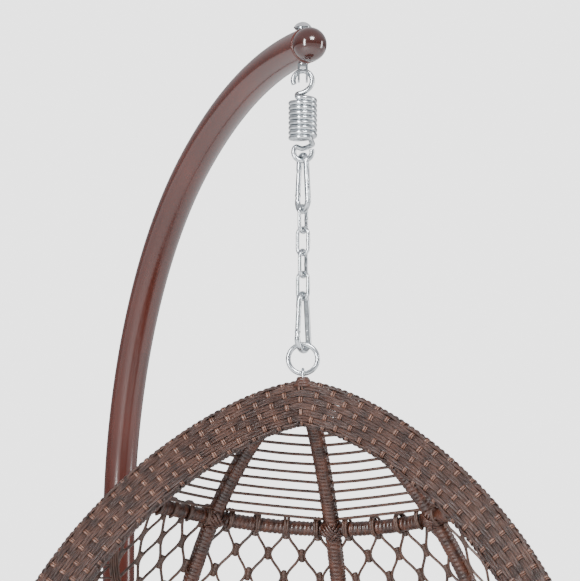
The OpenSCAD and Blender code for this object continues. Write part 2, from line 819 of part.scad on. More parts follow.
// Each bay lies between two uprights: the rim, a rib, the middle rib, a rib, the rim
bay_ends = [180, rib_turns[0], 90, rib_turns[2], 0];

// How far round a net or a ring starts from an upright
function net_clear(p, q) =
  (q == 0 || q == 180 ? rim_seat : rib_d / 2 + seat_gap) / round_rate(p, q);
function net_from(b, p) = bay_ends[b] - net_clear(p, bay_ends[b]);
function net_to(b, p) = bay_ends[b + 1] + net_clear(p, bay_ends[b + 1]);

ring_steps = 5;

function ring_clear(drop_p, q) =
  (q == 0 || q == 180 ? rim_seat : stand_off(rib_d, down_dir(drop_p(q), q), hoop_d, ring_dir(drop_p, q)))
    / norm(ring_dir(drop_p, q));

// A length of ring across a bay. drop_p gives the angle down for an angle round
function ring_path(b, drop_p) =
  let (from = bay_ends[b] - ring_clear(drop_p, bay_ends[b]),
       to = bay_ends[b + 1] + ring_clear(drop_p, bay_ends[b + 1]))
  [for (i = [0 : ring_steps])
    let (q = from + (to - from) * i / ring_steps)
    shell_point(drop_p(q), q)];

upper_p = function(q) angle_at(upper_ring_drop + upper_ring_fall * pow(sin(q), 3), q);
waist_p = function(q) 90;
lower_p = function(q) 122;

module ring_cores(drop_p) {
  in_basket()
    for (bay = [0 : 3]) core_tube(ring_path(bay, drop_p), hoop_d - 2 * wrap_t - core_slack);
}

module ring_wraps(drop_p) {
  color(wicker) in_basket()
    for (bay = [0 : 3])
      skin(ring_path(bay, drop_p), out_of(ring_path(bay, drop_p)), round_section(hoop_d, 8),
           round_section(hoop_d - 2 * wrap_t, 8));
}

module upper_ring() { ring_cores(upper_p); }
module upper_ring_wrap() { ring_wraps(upper_p); }
module waist_ring() { ring_cores(waist_p); }
module waist_ring_wrap() { ring_wraps(waist_p); }
module lower_ring() { ring_cores(lower_p); }
module lower_ring_wrap() { ring_wraps(lower_p); }

// Straight strands from rib to rib above the upper ring
first_strand_drop = upper_ring_drop - 11 - strand_count * strand_pitch + strand_pitch;

function strand_p(k, q) =
  let (drop = first_strand_drop + k * strand_pitch)
  angle_at(drop * (1 + upper_ring_fall / upper_ring_drop * pow(sin(q), 3)), q);

function strand_back(p, q, dir) =
  q == 0 || q == 180 ? strand_rim_seat : stand_off(rib_d, down_dir(p, q), strand_d, dir);

module crown_strands() {
  color(wicker) in_basket()
    for (k = [0 : strand_count - 1], b = [0 : 3]) {
      q0 = bay_ends[b];
      q1 = bay_ends[b + 1];
      p0 = strand_p(k, q0);
      p1 = strand_p(k, q1);
      dir = unit(shell_point(p1, q1) - shell_point(p0, q0));
      bar(shell_point(p0, q0) + dir * strand_back(p0, q0, dir),
          shell_point(p1, q1) - dir * strand_back(p1, q1, dir), strand_d);
    }
}

// A curved sheet of the shell. p0 and p1 give its angles down for an angle round,
// and q0 and q1 its angles round for an angle down
module sheet(p0, p1, q0, q1, inset, cols, rows) {
  grid = [for (i = [0 : rows], j = [0 : cols])
    let (q_near = q0(90) + (q1(90) - q0(90)) * j / cols,
         p = p0(q_near) + (p1(q_near) - p0(q_near)) * i / rows,
         q = q0(p) + (q1(p) - q0(p)) * j / cols)
    [p, q]];
  n = (rows + 1) * (cols + 1);
  w = cols + 1;
  outer = [for (g = grid) shell_point(g[0], g[1]) + inward(g[0], g[1]) * (inset - sheet_t / 2)];
  inner = [for (g = grid) shell_point(g[0], g[1]) + inward(g[0], g[1]) * (inset + sheet_t / 2)];
  faces = [for (i = [0 : rows - 1], j = [0 : cols - 1])
    let (a = i * w + j, b = a + 1, c = a + w + 1, d = a + w)
    each [[a, b, c], [a, c, d], [n + a, n + c, n + b], [n + a, n + d, n + c]]];
  top = [for (j = [0 : cols - 1]) each [[j, n + j + 1, j + 1], [j, n + j, n + j + 1]]];
  last = rows * w;
  low = [for (j = [0 : cols - 1])
    each [[last + j, last + j + 1, n + last + j + 1], [last + j, n + last + j + 1, n + last + j]]];
  left = [for (i = [0 : rows - 1])
    let (a = i * w, d = a + w) each [[a, d, n + d], [a, n + d, n + a]]];
  right = [for (i = [0 : rows - 1])
    let (a = i * w + cols, d = a + w) each [[a, n + d, d], [a, n + a, n + d]]];
  polyhedron(concat(outer, inner), concat(faces, top, low, left, right), convexity = 6);
}

// The nets stand off the rings by what the rings' straight steps take
ring_sag = 1;

// How far down from a ring a net starts. side is 1 below the ring, -1 above it
function ring_edge(drop_p, q, side) =
  let (down = down_dir(drop_p(q) + 2 * side, q))
  drop_p(q) + side * stand_off(hoop_d + 2 * ring_sag, ring_dir(drop_p, q), 0, down) / norm(down);

module net_panels(b) {
  from = function(p) net_from(b, p);
  to = function(p) net_to(b, p);
  color(wicker) in_basket() {
    sheet(function(q) ring_edge(upper_p, q, 1), function(q) ring_edge(waist_p, q, -1),
          from, to, 0, 6, 8);
    sheet(function(q) ring_edge(waist_p, q, 1), function(q) ring_edge(lower_p, q, -1),
          from, to, 0, 6, 5);
  }
}

module net_left_side() { net_panels(0); }
module net_left_back() { net_panels(1); }
module net_right_back() { net_panels(2); }
module net_right_side() { net_panels(3); }

// A curled band of strands inside each side of the opening
scroll_t = 6;
scroll_inset = (sheet_t + scroll_t) / 2 + 1.8;
scroll_from = 49;
scroll_to = 85;

module side_scroll(side) {
  turns = [for (i = [0 : 16])
    let (turn = 16 + 22 * sin(180 * i / 16))
    [scroll_from + (scroll_to - scroll_from) * i / 16, side > 0 ? turn : 180 - turn]];
  ins = [for (t = turns) inward(t[0], t[1])];
  color(wicker) in_basket()
    sweep([for (i = [0 : 16]) shell_point(turns[i][0], turns[i][1]) + ins[i] * scroll_inset],
          ins, oval(scroll_t, 16, 8));
}

module side_scroll_left() { side_scroll(-1); }
module side_scroll_right() { side_scroll(1); }

// The dense woven bowl that is sat on, laid over the ribs
seat_from = 124;
seat_to = 172;
seat_side = 62;

module seat_weave() {
  color(wicker) in_basket()
    sheet(function(q) seat_from, function(q) seat_to,
          function(p) 180 - seat_side / round_rate(p, 90), function(p) seat_side / round_rate(p, 90),
          (rib_d + sheet_t) / 2 + 2 * seat_gap, 16, 12);
}

// ---------- eye ----------
hub_top = 4;

// A staple that is threaded through the ring, with both legs in the hub
module basket_eye() {
  leg_end = basket_top - 3;
  wire = concat([[eye_leg, 0, leg_end - eye_top], [eye_leg, 0, -eye_leg - 3]],
                [for (a = [0 : 30 : 180]) [eye_leg * cos(a), 0, eye_leg * (sin(a) - 1)]],
                [[-eye_leg, 0, -eye_leg - 3], [-eye_leg, 0, leg_end - eye_top]]);
  color(zinc) at_hang(eye_top, hook_turn + 90)
    sweep(wire, [for (p = wire) [0, 1, 0]], round_section(eye_wire, 10));
}

module apex_hub() {
  hoop_top = rim_top - band_hoop_u - band_hoop_d / 2;
  color(wicker) difference() {
    at_hang(basket_top - hoop_top + seat_gap)
      cylinder(d = hub_d, h = hub_top + hoop_top - seat_gap, $fn = 48);
    at_hang(0, hook_turn + 90)
      for (side = [-1, 1])
        translate([side * eye_leg, 0, basket_top - 3.2])
          cylinder(d = eye_wire + 0.3, h = 40, $fn = 32);
  }
}

base_ring_front();
base_ring_rear();
base_joint_plugs();
base_spine();
pole_socket();
socket_gusset();
lower_pole();
pole_spigot();
upper_pole();
end_cap();
pole_bush();
frame_bolts();
feet();
swivel_bolt();
swivel_washer();
hanger_clevis();
spring_coils();
spring_lower_hook();
upper_snap_hook();
upper_gate();
upper_gate_pin();
chain_link_1();
chain_link_2();
chain_link_3();
chain_link_4();
lower_snap_hook();
lower_gate();
lower_gate_pin();
hanging_ring();
basket_eye();
apex_hub();
rim_outer_hoop();
rim_inner_hoop();
rim_rungs();
rim_back_hoop();
rim_back_wrap();
rim_weave();
rib_left();
rib_middle();
rib_right();
rib_left_wrap();
rib_middle_wrap();
rib_right_wrap();
upper_ring();
upper_ring_wrap();
waist_ring();
waist_ring_wrap();
lower_ring();
lower_ring_wrap();
crown_strands();
net_left_side();
net_left_back();
net_right_back();
net_right_side();
side_scroll_left();
side_scroll_right();
seat_weave();
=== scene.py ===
# %% [markdown]
# A hanging egg chair: an open wicker basket on a light steel frame, hung by a spring,
# two snap hooks and a short chain from the end of a swept tubular stand. The metal parts
# come from the imported model and stay where it puts them. This script adds the wicker,
# the smooth wires and the finishes, and every new piece but the spring rides on one of the model's bodies.

# %% Load the imported model
import bpy, bmesh, json
import numpy as np
from math import radians, sin, cos, pi, tau
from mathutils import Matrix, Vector


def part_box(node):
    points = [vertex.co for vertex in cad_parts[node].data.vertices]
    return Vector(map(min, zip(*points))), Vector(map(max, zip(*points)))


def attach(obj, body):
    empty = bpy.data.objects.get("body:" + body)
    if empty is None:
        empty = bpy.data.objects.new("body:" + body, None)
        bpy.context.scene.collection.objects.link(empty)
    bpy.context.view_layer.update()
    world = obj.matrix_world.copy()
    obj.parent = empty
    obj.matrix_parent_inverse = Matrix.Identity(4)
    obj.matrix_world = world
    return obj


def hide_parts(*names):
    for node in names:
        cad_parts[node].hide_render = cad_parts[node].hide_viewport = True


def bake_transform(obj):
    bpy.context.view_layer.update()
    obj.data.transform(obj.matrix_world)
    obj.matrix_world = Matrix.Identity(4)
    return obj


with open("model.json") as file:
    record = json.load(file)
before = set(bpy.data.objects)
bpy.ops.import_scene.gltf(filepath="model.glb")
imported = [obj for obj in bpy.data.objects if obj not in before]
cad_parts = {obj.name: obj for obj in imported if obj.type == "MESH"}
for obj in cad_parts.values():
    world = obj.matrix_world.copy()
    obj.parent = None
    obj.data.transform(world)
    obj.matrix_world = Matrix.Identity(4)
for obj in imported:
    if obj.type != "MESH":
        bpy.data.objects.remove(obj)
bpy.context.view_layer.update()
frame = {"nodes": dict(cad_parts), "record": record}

# %% [markdown]
# The whole suspension hangs on one vertical line. Its place on the floor is the middle
# of the swivel bolt, and the top of the basket is just under the top of the hub that
# carries the eye, so both are read from the model. Lengths here are in millimetres.

# %% Where things hang
MM = 0.001

def middle(node, axis):
    low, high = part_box(node)
    return (low[axis] + high[axis]) / 2

hang_y = middle("swivel_bolt", 1) / MM
basket_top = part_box("apex_hub")[1][2] / MM - 4
print("hanging line at y", round(hang_y, 1), "basket top at", round(basket_top, 1))

# %% [markdown]
# The basket is drawn in a frame of its own: X to the sitter's left, Y to the back, Z up,
# from the top of the rim. A point of its shell has an angle down, 0 at the top and 180 at
# the front lip, and an angle round, 0 and 180 on the rim and 90 in the middle of the back.

# %% The basket's shell
side_reach, rim_top, wide, lip, deep = 416.0, 30.0, 600.0, 985.0, 1150.0
back_reach, rim_fwd, lip_fwd, middle_top, turn_down = 315.0, 70.0, 262.0, 12.0, 60.0
basket_turn, basket_lean = -37.0, 1.2

def dsin(a): return np.sin(np.radians(a))
def dcos(a): return np.cos(np.radians(a))

def rim_half(p):
    s = np.clip(dsin(p), 0, 1)
    return side_reach * np.where(p <= 90, s ** 1.365, s ** 0.95)

def rim_drop(p):
    return np.where(p <= 90, rim_top + (wide - rim_top) * (1 - dcos(p)),
                    wide - (lip - wide) * dcos(p))

def rim_front(p):
    s = np.clip(dsin(p), 0, 1)
    return np.where(p <= 90, rim_fwd * s ** 2.2, rim_fwd + (lip_fwd - rim_fwd) * (1 - s))

def middle_back(p):
    s = np.clip(dsin(p), 0, 1)
    low = 90 * (p - 90) / turn_down
    front = 90 * (p - 90 - turn_down) / (90 - turn_down)
    return np.where(p <= 90, back_reach * s ** 1.55,
                    np.where(p <= 90 + turn_down, back_reach * dcos(low), -lip_fwd * dsin(front)))

def middle_drop(p):
    low = 90 * (p - 90) / turn_down
    front = 90 * (p - 90 - turn_down) / (90 - turn_down)
    return np.where(p <= 90, middle_top + (wide - middle_top) * (1 - dcos(p)),
                    np.where(p <= 90 + turn_down, wide + (deep - wide) * dsin(low),
                             deep - (deep - lip) * (1 - dcos(front))))

def shell(p, q):
    """A point of the shell, or a row of them, in the basket's frame."""
    p, q = np.broadcast_arrays(np.asarray(p, float), np.asarray(q, float))
    m = dsin(q)
    return np.stack([rim_half(p) * dcos(q),
                     -rim_front(p) * (1 - m) + middle_back(p) * m,
                     -rim_drop(p) * (1 - m) - middle_drop(p) * m], axis=-1)

def unit(v):
    return v / np.maximum(np.linalg.norm(v, axis=-1, keepdims=True), 1e-9)

def inward(p, q):
    p, q = np.broadcast_arrays(np.asarray(p, float), np.asarray(q, float))
    return unit(np.cross(shell(p, q + 0.5) - shell(p, q - 0.5),
                         shell(p + 0.5, q) - shell(p - 0.5, q)))

def angle_at(drop, q):
    """How far down the shell reaches a drop, above its widest level."""
    m = dsin(q)
    top = rim_top * (1 - m) + middle_top * m
    return np.degrees(np.arccos(np.clip(1 - (drop - top) / (wide - top), -1, 1)))

def turned(v):
    """Directions from the basket's frame to the model's."""
    v = np.asarray(v, float)
    c, s = cos(radians(basket_lean)), sin(radians(basket_lean))
    x, y, z = v[..., 0] * c + v[..., 2] * s, v[..., 1], -v[..., 0] * s + v[..., 2] * c
    c, s = cos(radians(basket_turn)), sin(radians(basket_turn))
    return np.stack([x * c - y * s, x * s + y * c, z], axis=-1)

def placed(v):
    """Points from the basket's frame to the model's, in metres."""
    return (turned(v) + np.array([0, hang_y, basket_top])) * MM

print("front lip at", placed(shell(180, 0)).round(3))

# %% [markdown]
# Nearly every piece here is something long and thin that follows a path: a strip of
# wicker, a wound tube, a wire. Each one starts as a flat grid, which is then rolled round
# its path, and the seam is merged. One helper does that, so strips, wires and wound tubes
# differ only in the outline that they give it.

# %% Roll a grid round a path
def roll(mesh, path, out, outline, steps, sides):
    """path and out are rows of points and outward directions, in metres. outline takes
    positions along (0 to 1) and around (0 to 1) and gives how far out and how far across."""
    path, out = np.asarray(path, float), np.asarray(out, float)
    made = bmesh.ops.create_grid(mesh, x_segments=steps, y_segments=sides, size=1,
                                 calc_uvs=True)["verts"]
    flat = np.array([v.co[:] for v in made])
    u, v = (flat[:, 0] + 1) / 2, (flat[:, 1] + 1) / 2
    tangent = unit(np.gradient(path, axis=0))
    if np.linalg.norm(path[0] - path[-1]) < 1e-6:
        tangent[0] = tangent[-1] = unit(tangent[0] + tangent[-1])
    up = unit(out - tangent * np.sum(out * tangent, axis=1, keepdims=True))
    side = np.cross(tangent, up)
    at = u * (len(path) - 1)
    pick = lambda rows: np.stack([np.interp(at, np.arange(len(path)), rows[:, k]) for k in range(3)], axis=1)
    outwards, across = outline(u, v)
    points = pick(path) + outwards[:, None] * pick(up) + across[:, None] * pick(side)
    for vert, point in zip(made, points):
        vert.co = point

def flat_strip(half_width, half_thick, boxy=0.6):
    """The outline of a strip with rounded edges. The width may change along it."""
    def outline(u, v):
        w = np.interp(u, np.linspace(0, 1, len(half_width)), half_width) if np.ndim(half_width) else half_width
        c, s = np.cos(tau * v), np.sin(tau * v)
        return half_thick * np.sign(s) * np.abs(s) ** boxy, w * np.sign(c) * np.abs(c) ** boxy
    return outline

def round_wire(radius):
    return lambda u, v: (radius * np.cos(tau * v), radius * np.sin(tau * v))

def wound(radius, turns, proud, seed=0, handed=1):
    """A tube wound with a flat strip: narrow grooves run round it in a steep helix."""
    rng = np.random.default_rng(seed)
    shifts = rng.uniform(0, tau, 4)
    def outline(u, v):
        wander = 0.16 * np.sin(u * turns * 0.9 + shifts[0]) + 0.2 * np.sin(u * turns * 0.37 + shifts[1])
        phase = (u * turns + wander + handed * v) % 1
        crown = 1 - np.abs(2 * phase - 1) ** 3
        tilt = 0.25 * (phase - 0.5)
        r = radius - proud + proud * (crown + tilt) + 0.12 * MM * np.sin(u * turns * 1.7 + shifts[2])
        return r * np.cos(tau * v), r * np.sin(tau * v)
    return outline

def finish_mesh(mesh, name, body, material, nodes=(), smooth=True):
    """Close the seams and the ends, and hand the piece to its body."""
    bmesh.ops.remove_doubles(mesh, verts=mesh.verts, dist=3e-6)
    rims = [e for e in mesh.edges if e.is_boundary]
    if rims:
        bmesh.ops.holes_fill(mesh, edges=rims, sides=0)
    bmesh.ops.recalc_face_normals(mesh, faces=mesh.faces)
    data = bpy.data.meshes.new(name)
    for face in mesh.faces:
        face.smooth = smooth
    mesh.to_mesh(data)
    mesh.free()
    piece = bpy.data.objects.new(name, data)
    bpy.context.scene.collection.objects.link(piece)
    data.materials.append(material)
    if body:
        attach(piece, body)
    if nodes:
        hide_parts(*nodes)
    print(name, len(data.polygons), "faces")
    return piece

def new_mesh():
    mesh = bmesh.new()
    mesh.loops.layers.uv.new("UVMap")
    return mesh

def evenly(path, step=None, count=None):
    """The same path with points at equal steps."""
    path = np.asarray(path, float)
    run = np.concatenate([[0], np.cumsum(np.linalg.norm(np.diff(path, axis=0), axis=1))])
    n = count or max(2, int(round(run[-1] / step)) + 1)
    at = np.linspace(0, run[-1], n)
    return np.stack([np.interp(at, run, path[:, k]) for k in range(path.shape[1])], axis=1)

def length(path):
    return float(np.sum(np.linalg.norm(np.diff(np.asarray(path), axis=0), axis=1)))

# %% [markdown]
# The wicker is a tough plastic strip, extruded with fine grooves along it, dark brown with
# a little red in it. Light catches the crowns of the strips, and colour drifts a little
# from strip to strip. Fine light streaks along each strip are painted highlights, laid into
# the colour together with that drift. The grooves follow the strip, so they read its own UV map, and the
# slow drift of colour reads object coordinates; the painted highlight streaks read both.

# %% Wicker material
def shader(name):
    material = bpy.data.materials.new(name)
    material.use_nodes = True
    nodes = material.node_tree.nodes
    return material, nodes, material.node_tree.links, nodes["Principled BSDF"]

def drift(nodes, links, scale, dark, light, detail=3.0, source="Object"):
    """A colour that wanders between two tones."""
    where = nodes.new("ShaderNodeTexCoord")
    noise = nodes.new("ShaderNodeTexNoise")
    noise.inputs["Scale"].default_value = scale
    noise.inputs["Detail"].default_value = detail
    links.new(where.outputs[source], noise.inputs["Vector"])
    ramp = nodes.new("ShaderNodeValToRGB")
    ramp.color_ramp.elements[0].position, ramp.color_ramp.elements[1].position = 0.32, 0.7
    ramp.color_ramp.elements[0].color = (*dark, 1)
    ramp.color_ramp.elements[1].color = (*light, 1)
    links.new(noise.outputs["Fac"], ramp.inputs["Fac"])
    return where, noise, ramp

def wicker(name, dark, light, rough=0.42, grooves=18.0, depth=0.25, grain_share=0.6, streaks=(90, 14)):
    material, nodes, links, skin = shader(name)
    where, noise, ramp = drift(nodes, links, 55.0, dark, light)
    links.new(ramp.outputs["Color"], skin.inputs["Base Color"])
    # Painted highlight: noise stretched along each strip's UV map lightens the base colour in fine streaks, mixed with
    # the random colour drift.
    stretch = nodes.new("ShaderNodeMapping")
    stretch.inputs["Scale"].default_value = (*streaks, 1)
    links.new(where.outputs["UV"], stretch.inputs["Vector"])
    shift = nodes.new("ShaderNodeVectorMath")
    shift.operation = "MULTIPLY_ADD"
    shift.inputs[1].default_value = (40, 40, 40)
    links.new(where.outputs["Object"], shift.inputs[0])
    links.new(stretch.outputs["Vector"], shift.inputs[2])
    painted_streak_highlight = nodes.new("ShaderNodeTexNoise")
    painted_streak_highlight.inputs["Scale"].default_value = 1.0
    painted_streak_highlight.inputs["Detail"].default_value = 2.0
    links.new(shift.outputs["Vector"], painted_streak_highlight.inputs["Vector"])
    both = nodes.new("ShaderNodeMath")
    both.operation = "MULTIPLY_ADD"
    both.inputs[1].default_value = 0.55
    links.new(painted_streak_highlight.outputs["Fac"], both.inputs[0])
    share = nodes.new("ShaderNodeMath")
    share.operation = "MULTIPLY"
    share.inputs[1].default_value = 0.45
    links.new(noise.outputs["Fac"], share.inputs[0])
    links.new(share.outputs[0], both.inputs[2])
    links.new(both.outputs[0], ramp.inputs["Fac"])
    ramp.color_ramp.elements[0].position, ramp.color_ramp.elements[1].position = 0.40, 0.62
    wave = nodes.new("ShaderNodeTexWave")
    wave.bands_direction = "Y"
    wave.inputs["Scale"].default_value = grooves
    wave.inputs["Distortion"].default_value = 0.6
    links.new(where.outputs["UV"], wave.inputs["Vector"])
    grain = nodes.new("ShaderNodeTexNoise")
    grain.inputs["Scale"].default_value = 900.0
    grain.inputs["Detail"].default_value = 2.0
    links.new(where.outputs["Object"], grain.inputs["Vector"])
    blend = nodes.new("ShaderNodeMath")
    blend.operation = "MULTIPLY_ADD"
    blend.inputs[1].default_value = grain_share
    links.new(grain.outputs["Fac"], blend.inputs[0])
    links.new(wave.outputs["Fac"], blend.inputs[2])
    bump = nodes.new("ShaderNodeBump")
    bump.inputs["Strength"].default_value = depth
    bump.inputs["Distance"].default_value = 0.0006
    links.new(blend.outputs[0], bump.inputs["Height"])
    links.new(bump.outputs["Normal"], skin.inputs["Normal"])
    gloss = nodes.new("ShaderNodeMapRange")
    gloss.inputs["To Min"].default_value = rough - 0.08
    gloss.inputs["To Max"].default_value = rough + 0.14
    links.new(noise.outputs["Fac"], gloss.inputs["Value"])
    links.new(gloss.outputs["Result"], skin.inputs["Roughness"])
    skin.inputs["Specular IOR Level"].default_value = 0.6
    return material

strip_brown = wicker("wicker_strip", (0.016, 0.0055, 0.0034), (0.078, 0.033, 0.021), rough=0.36, depth=0.5)
stake_brown = wicker("wicker_stake", (0.085, 0.036, 0.022), (0.16, 0.078, 0.052), rough=0.34, streaks=(14, 8))
wound_brown = wicker("wicker_wound", (0.026, 0.0085, 0.0048), (0.080, 0.027, 0.0145), rough=0.30, grooves=10, depth=0.15, grain_share=0.2, streaks=(60, 3))
net_brown = wicker("wicker_net", (0.034, 0.0145, 0.0085), (0.085, 0.038, 0.024), rough=0.40, grooves=6, depth=0.1, grain_share=0.1, streaks=(40, 3))
edge_brown = wicker("wicker_edge", (0.014, 0.0055, 0.0035), (0.040, 0.016, 0.010), rough=0.26, depth=0.15, grain_share=0.2)

# %% [markdown]
# The stand is steel tube with a dark red-brown powder coat: smooth to the touch but with a
# faint orange peel, and a clear sheen. The chain, hooks and spring are zinc plated, bright
# but slightly cloudy, with fine scratches. The bolt on top is polished.

# %% Metal, plastic and rubber
def coated(name, dark, light, rough, coat):
    material, nodes, links, skin = shader(name)
    where, noise, ramp = drift(nodes, links, 9.0, dark, light)
    links.new(ramp.outputs["Color"], skin.inputs["Base Color"])
    peel = nodes.new("ShaderNodeTexNoise")
    peel.inputs["Scale"].default_value = 420.0
    peel.inputs["Detail"].default_value = 1.5
    links.new(where.outputs["Object"], peel.inputs["Vector"])
    bump = nodes.new("ShaderNodeBump")
    bump.inputs["Strength"].default_value = 0.07
    bump.inputs["Distance"].default_value = 0.0008
    links.new(peel.outputs["Fac"], bump.inputs["Height"])
    links.new(bump.outputs["Normal"], skin.inputs["Normal"])
    gloss = nodes.new("ShaderNodeMapRange")
    gloss.inputs["To Min"].default_value = rough - 0.03
    gloss.inputs["To Max"].default_value = rough + 0.05
    links.new(noise.outputs["Fac"], gloss.inputs["Value"])
    links.new(gloss.outputs["Result"], skin.inputs["Roughness"])
    skin.inputs["Coat Weight"].default_value = coat
    skin.inputs["Coat Roughness"].default_value = 0.12
    return material

def plated(name, dark, light, rough, scratch=0.12):
    material, nodes, links, skin = shader(name)
    where, noise, ramp = drift(nodes, links, 120.0, dark, light, detail=5.0)
    links.new(ramp.outputs["Color"], skin.inputs["Base Color"])
    skin.inputs["Metallic"].default_value = 1.0
    fine = nodes.new("ShaderNodeTexNoise")
    fine.inputs["Scale"].default_value = 1400.0
    links.new(where.outputs["Object"], fine.inputs["Vector"])
    bump = nodes.new("ShaderNodeBump")
    bump.inputs["Strength"].default_value = scratch
    bump.inputs["Distance"].default_value = 0.0002
    links.new(fine.outputs["Fac"], bump.inputs["Height"])
    links.new(bump.outputs["Normal"], skin.inputs["Normal"])
    gloss = nodes.new("ShaderNodeMapRange")
    gloss.inputs["To Min"].default_value = rough - 0.05
    gloss.inputs["To Max"].default_value = rough + 0.12
    links.new(noise.outputs["Fac"], gloss.inputs["Value"])
    links.new(gloss.outputs["Result"], skin.inputs["Roughness"])
    return material

powder_coat = coated("powder_coat", (0.044, 0.0072, 0.0036), (0.060, 0.0100, 0.005), 0.24, 0.30)
cap_gloss = coated("cap_gloss", (0.024, 0.0045, 0.0028), (0.034, 0.0062, 0.004), 0.14, 0.7)
core_paint = coated("core_paint", (0.05, 0.018, 0.012), (0.06, 0.022, 0.015), 0.4, 0.1)
zinc = plated("zinc_plate", (0.42, 0.445, 0.465), (0.66, 0.69, 0.71), 0.17, 0.04)
bright = plated("polished_bolt", (0.78, 0.78, 0.79), (0.90, 0.90, 0.90), 0.10, 0.03)
foot_rubber = coated("foot_rubber", (0.012, 0.012, 0.012), (0.022, 0.022, 0.022), 0.7, 0.0)

finish_of = {"stand_steel": powder_coat, "cap": cap_gloss, "zinc": zinc, "bright_bolt": bright,
             "core_steel": core_paint, "wicker": strip_brown, "feet": foot_rubber}
for entry in frame["record"]["subparts"]:
    data = frame["nodes"][entry["node"]].data
    data.materials.clear()
    data.materials.append(finish_of[entry["material_slot"]])

# %% [markdown]
# The pole is bent from one size of tube in three radii: a long gentle lean up from the
# base, a tighter shoulder, and the crest that reaches over the basket. A sweep along those
# three arcs gives it a surface smooth enough for the long highlight that runs up it.

# %% Sweep the pole
tube_r, arm_top, joint_z = 24.0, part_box("upper_pole")[1][2] / MM, 1000.0
crest_r, shoulder_r, crest_turn, crest_back = 819.0, 582.0, 28.65, 15.6
crest_z = arm_top - tube_r - crest_r
shoulder_y = crest_back + (crest_r - shoulder_r) * sin(radians(crest_turn))
shoulder_z = crest_z + (crest_r - shoulder_r) * cos(radians(crest_turn))
lean_out, lean_up = shoulder_y + shoulder_r - 501, shoulder_z - 32
lean_r = (lean_up ** 2 + lean_out ** 2) / (2 * lean_out)
lean_y = shoulder_y + shoulder_r - lean_r

def pole_arc(y, z, radius, start, end, steps):
    a = np.radians(np.linspace(start, end, steps))
    return np.stack([0 * a, hang_y + y + radius * np.cos(a), z + radius * np.sin(a)], axis=1)

def lean_turn(z):
    return np.degrees(np.arcsin((z - shoulder_z) / lean_r))

pole_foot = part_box("lower_pole")[0][2] / MM + 4
lower = pole_arc(lean_y, shoulder_z, lean_r, lean_turn(pole_foot), lean_turn(joint_z - 0.2), 120)
upper = np.vstack([pole_arc(lean_y, shoulder_z, lean_r, lean_turn(joint_z + 0.2), 0, 60)[:-1],
                   pole_arc(shoulder_y, shoulder_z, shoulder_r, 0, 90 - crest_turn, 120)[:-1],
                   pole_arc(crest_back, crest_z, crest_r, 90 - crest_turn, 92.28, 90)])
for name, line in (("lower_pole", lower), ("upper_pole", upper)):
    line = evenly(line, step=4)
    mesh = new_mesh()
    roll(mesh, line * MM, np.tile([1.0, 0, 0], (len(line), 1)), round_wire(tube_r * MM), len(line), 72)
    finish_mesh(mesh, name + "_sweep", "stand", powder_coat, [name])

# %% [markdown]
# The rim is a flat band woven over two hoops, and it is the part of the basket that one
# looks at. Its weave is a plain one: rows of strips run round the rim in pairs, and stakes
# cross the band, over one row and under the next. Each row is a real strip that rises and
# dips over the stakes, so the gaps and shadows between them are real too.

# %% The rim's path
band_w, band_t = 60.0, 24.0
turns = np.linspace(0, 360, 1441)
folded = np.where(turns <= 180, turns, 360 - turns)
rim = np.stack([np.where(turns <= 180, 1, -1) * rim_half(folded), -rim_front(folded), -rim_drop(folded)], axis=1)
rim = evenly(rim, count=1441)
rim[-1] = rim[0]

def rim_frame(path):
    """Directions out from the middle of the opening, and forward, along the rim."""
    tangent = unit(np.roll(path[:-1], -1, axis=0) - np.roll(path[:-1], 1, axis=0))
    tangent = np.vstack([tangent, tangent[:1]])
    towards = path - np.stack([0 * path[:, 1], path[:, 1], 0 * path[:, 1] - wide * 0.85], axis=1)
    out = unit(towards - tangent * np.sum(towards * tangent, axis=1, keepdims=True))
    return tangent, out, np.cross(tangent, out)

rim_tangent, rim_out, rim_forward = rim_frame(rim)
rim_length = length(rim)
stakes = 2 * int(round(rim_length / 20 / 2))
print("rim", round(rim_length), "mm round, with", stakes, "stakes")

def section(t):
    """The band's outline: across and forward."""
    c, s = np.cos(t), np.sin(t)
    across = (band_w / 2 - 1.5) * np.sign(c) * np.abs(c) ** 0.62
    ahead = (band_t / 2 - 2.2) * np.sign(s) * np.abs(s) ** 0.62
    return across, ahead

fine = np.linspace(0, tau, 2001)
fx, fy = section(fine)
run = np.concatenate([[0], np.cumsum(np.hypot(np.diff(fx), np.diff(fy)))])
girth = run[-1]

def on_section(share):
    """A place on the outline at a share of its girth, and the way out of it."""
    s = (share % 1) * girth
    x, y = np.interp(s, run, fx), np.interp(s, run, fy)
    x1, y1 = np.interp((s + 2) % girth, run, fx), np.interp((s + 2) % girth, run, fy)
    x0, y0 = np.interp((s - 2) % girth, run, fx), np.interp((s - 2) % girth, run, fy)
    nx, ny = y1 - y0, -(x1 - x0)
    n = np.hypot(nx, ny)
    return x, y, nx / n, ny / n

# %% Weave the rows round the rim
rows = 2 * int(round(girth / 8.7 / 2))
along = np.arange(len(rim)) / (len(rim) - 1)

def row_path(share, parity, rise=1.35):
    x, y, nx, ny = on_section(share)
    wave = rise * np.cos(pi * (along * stakes + parity))
    return placed(rim + rim_out * (x + nx * wave)[:, None] + rim_forward * (y + ny * wave)[:, None]), \
        turned(rim_out * nx + rim_forward * ny)

for face, name in ((0, "rim_rows_front"), (1, "rim_rows_back")):
    mesh = new_mesh()
    for row in range(rows // 2 * face, rows // 2 * (face + 1)):
        for half in (-0.238, 0.238):
            path, out = row_path((row + 0.5 + half) / rows, row % 2)
            roll(mesh, path, out, flat_strip(2.08 * MM, 0.95 * MM, 0.5), 540, 8)
    finish_mesh(mesh, name, "basket", strip_brown, ["rim_weave"])

# %% [markdown]
# The stakes go round the band like rungs. Each is a pair of strips, one wide and one
# narrow, that goes under a row where the row goes over it. They are a shade lighter.

# %% Stakes across the rim
lap = np.linspace(0, 1, 12 * rows + 1)

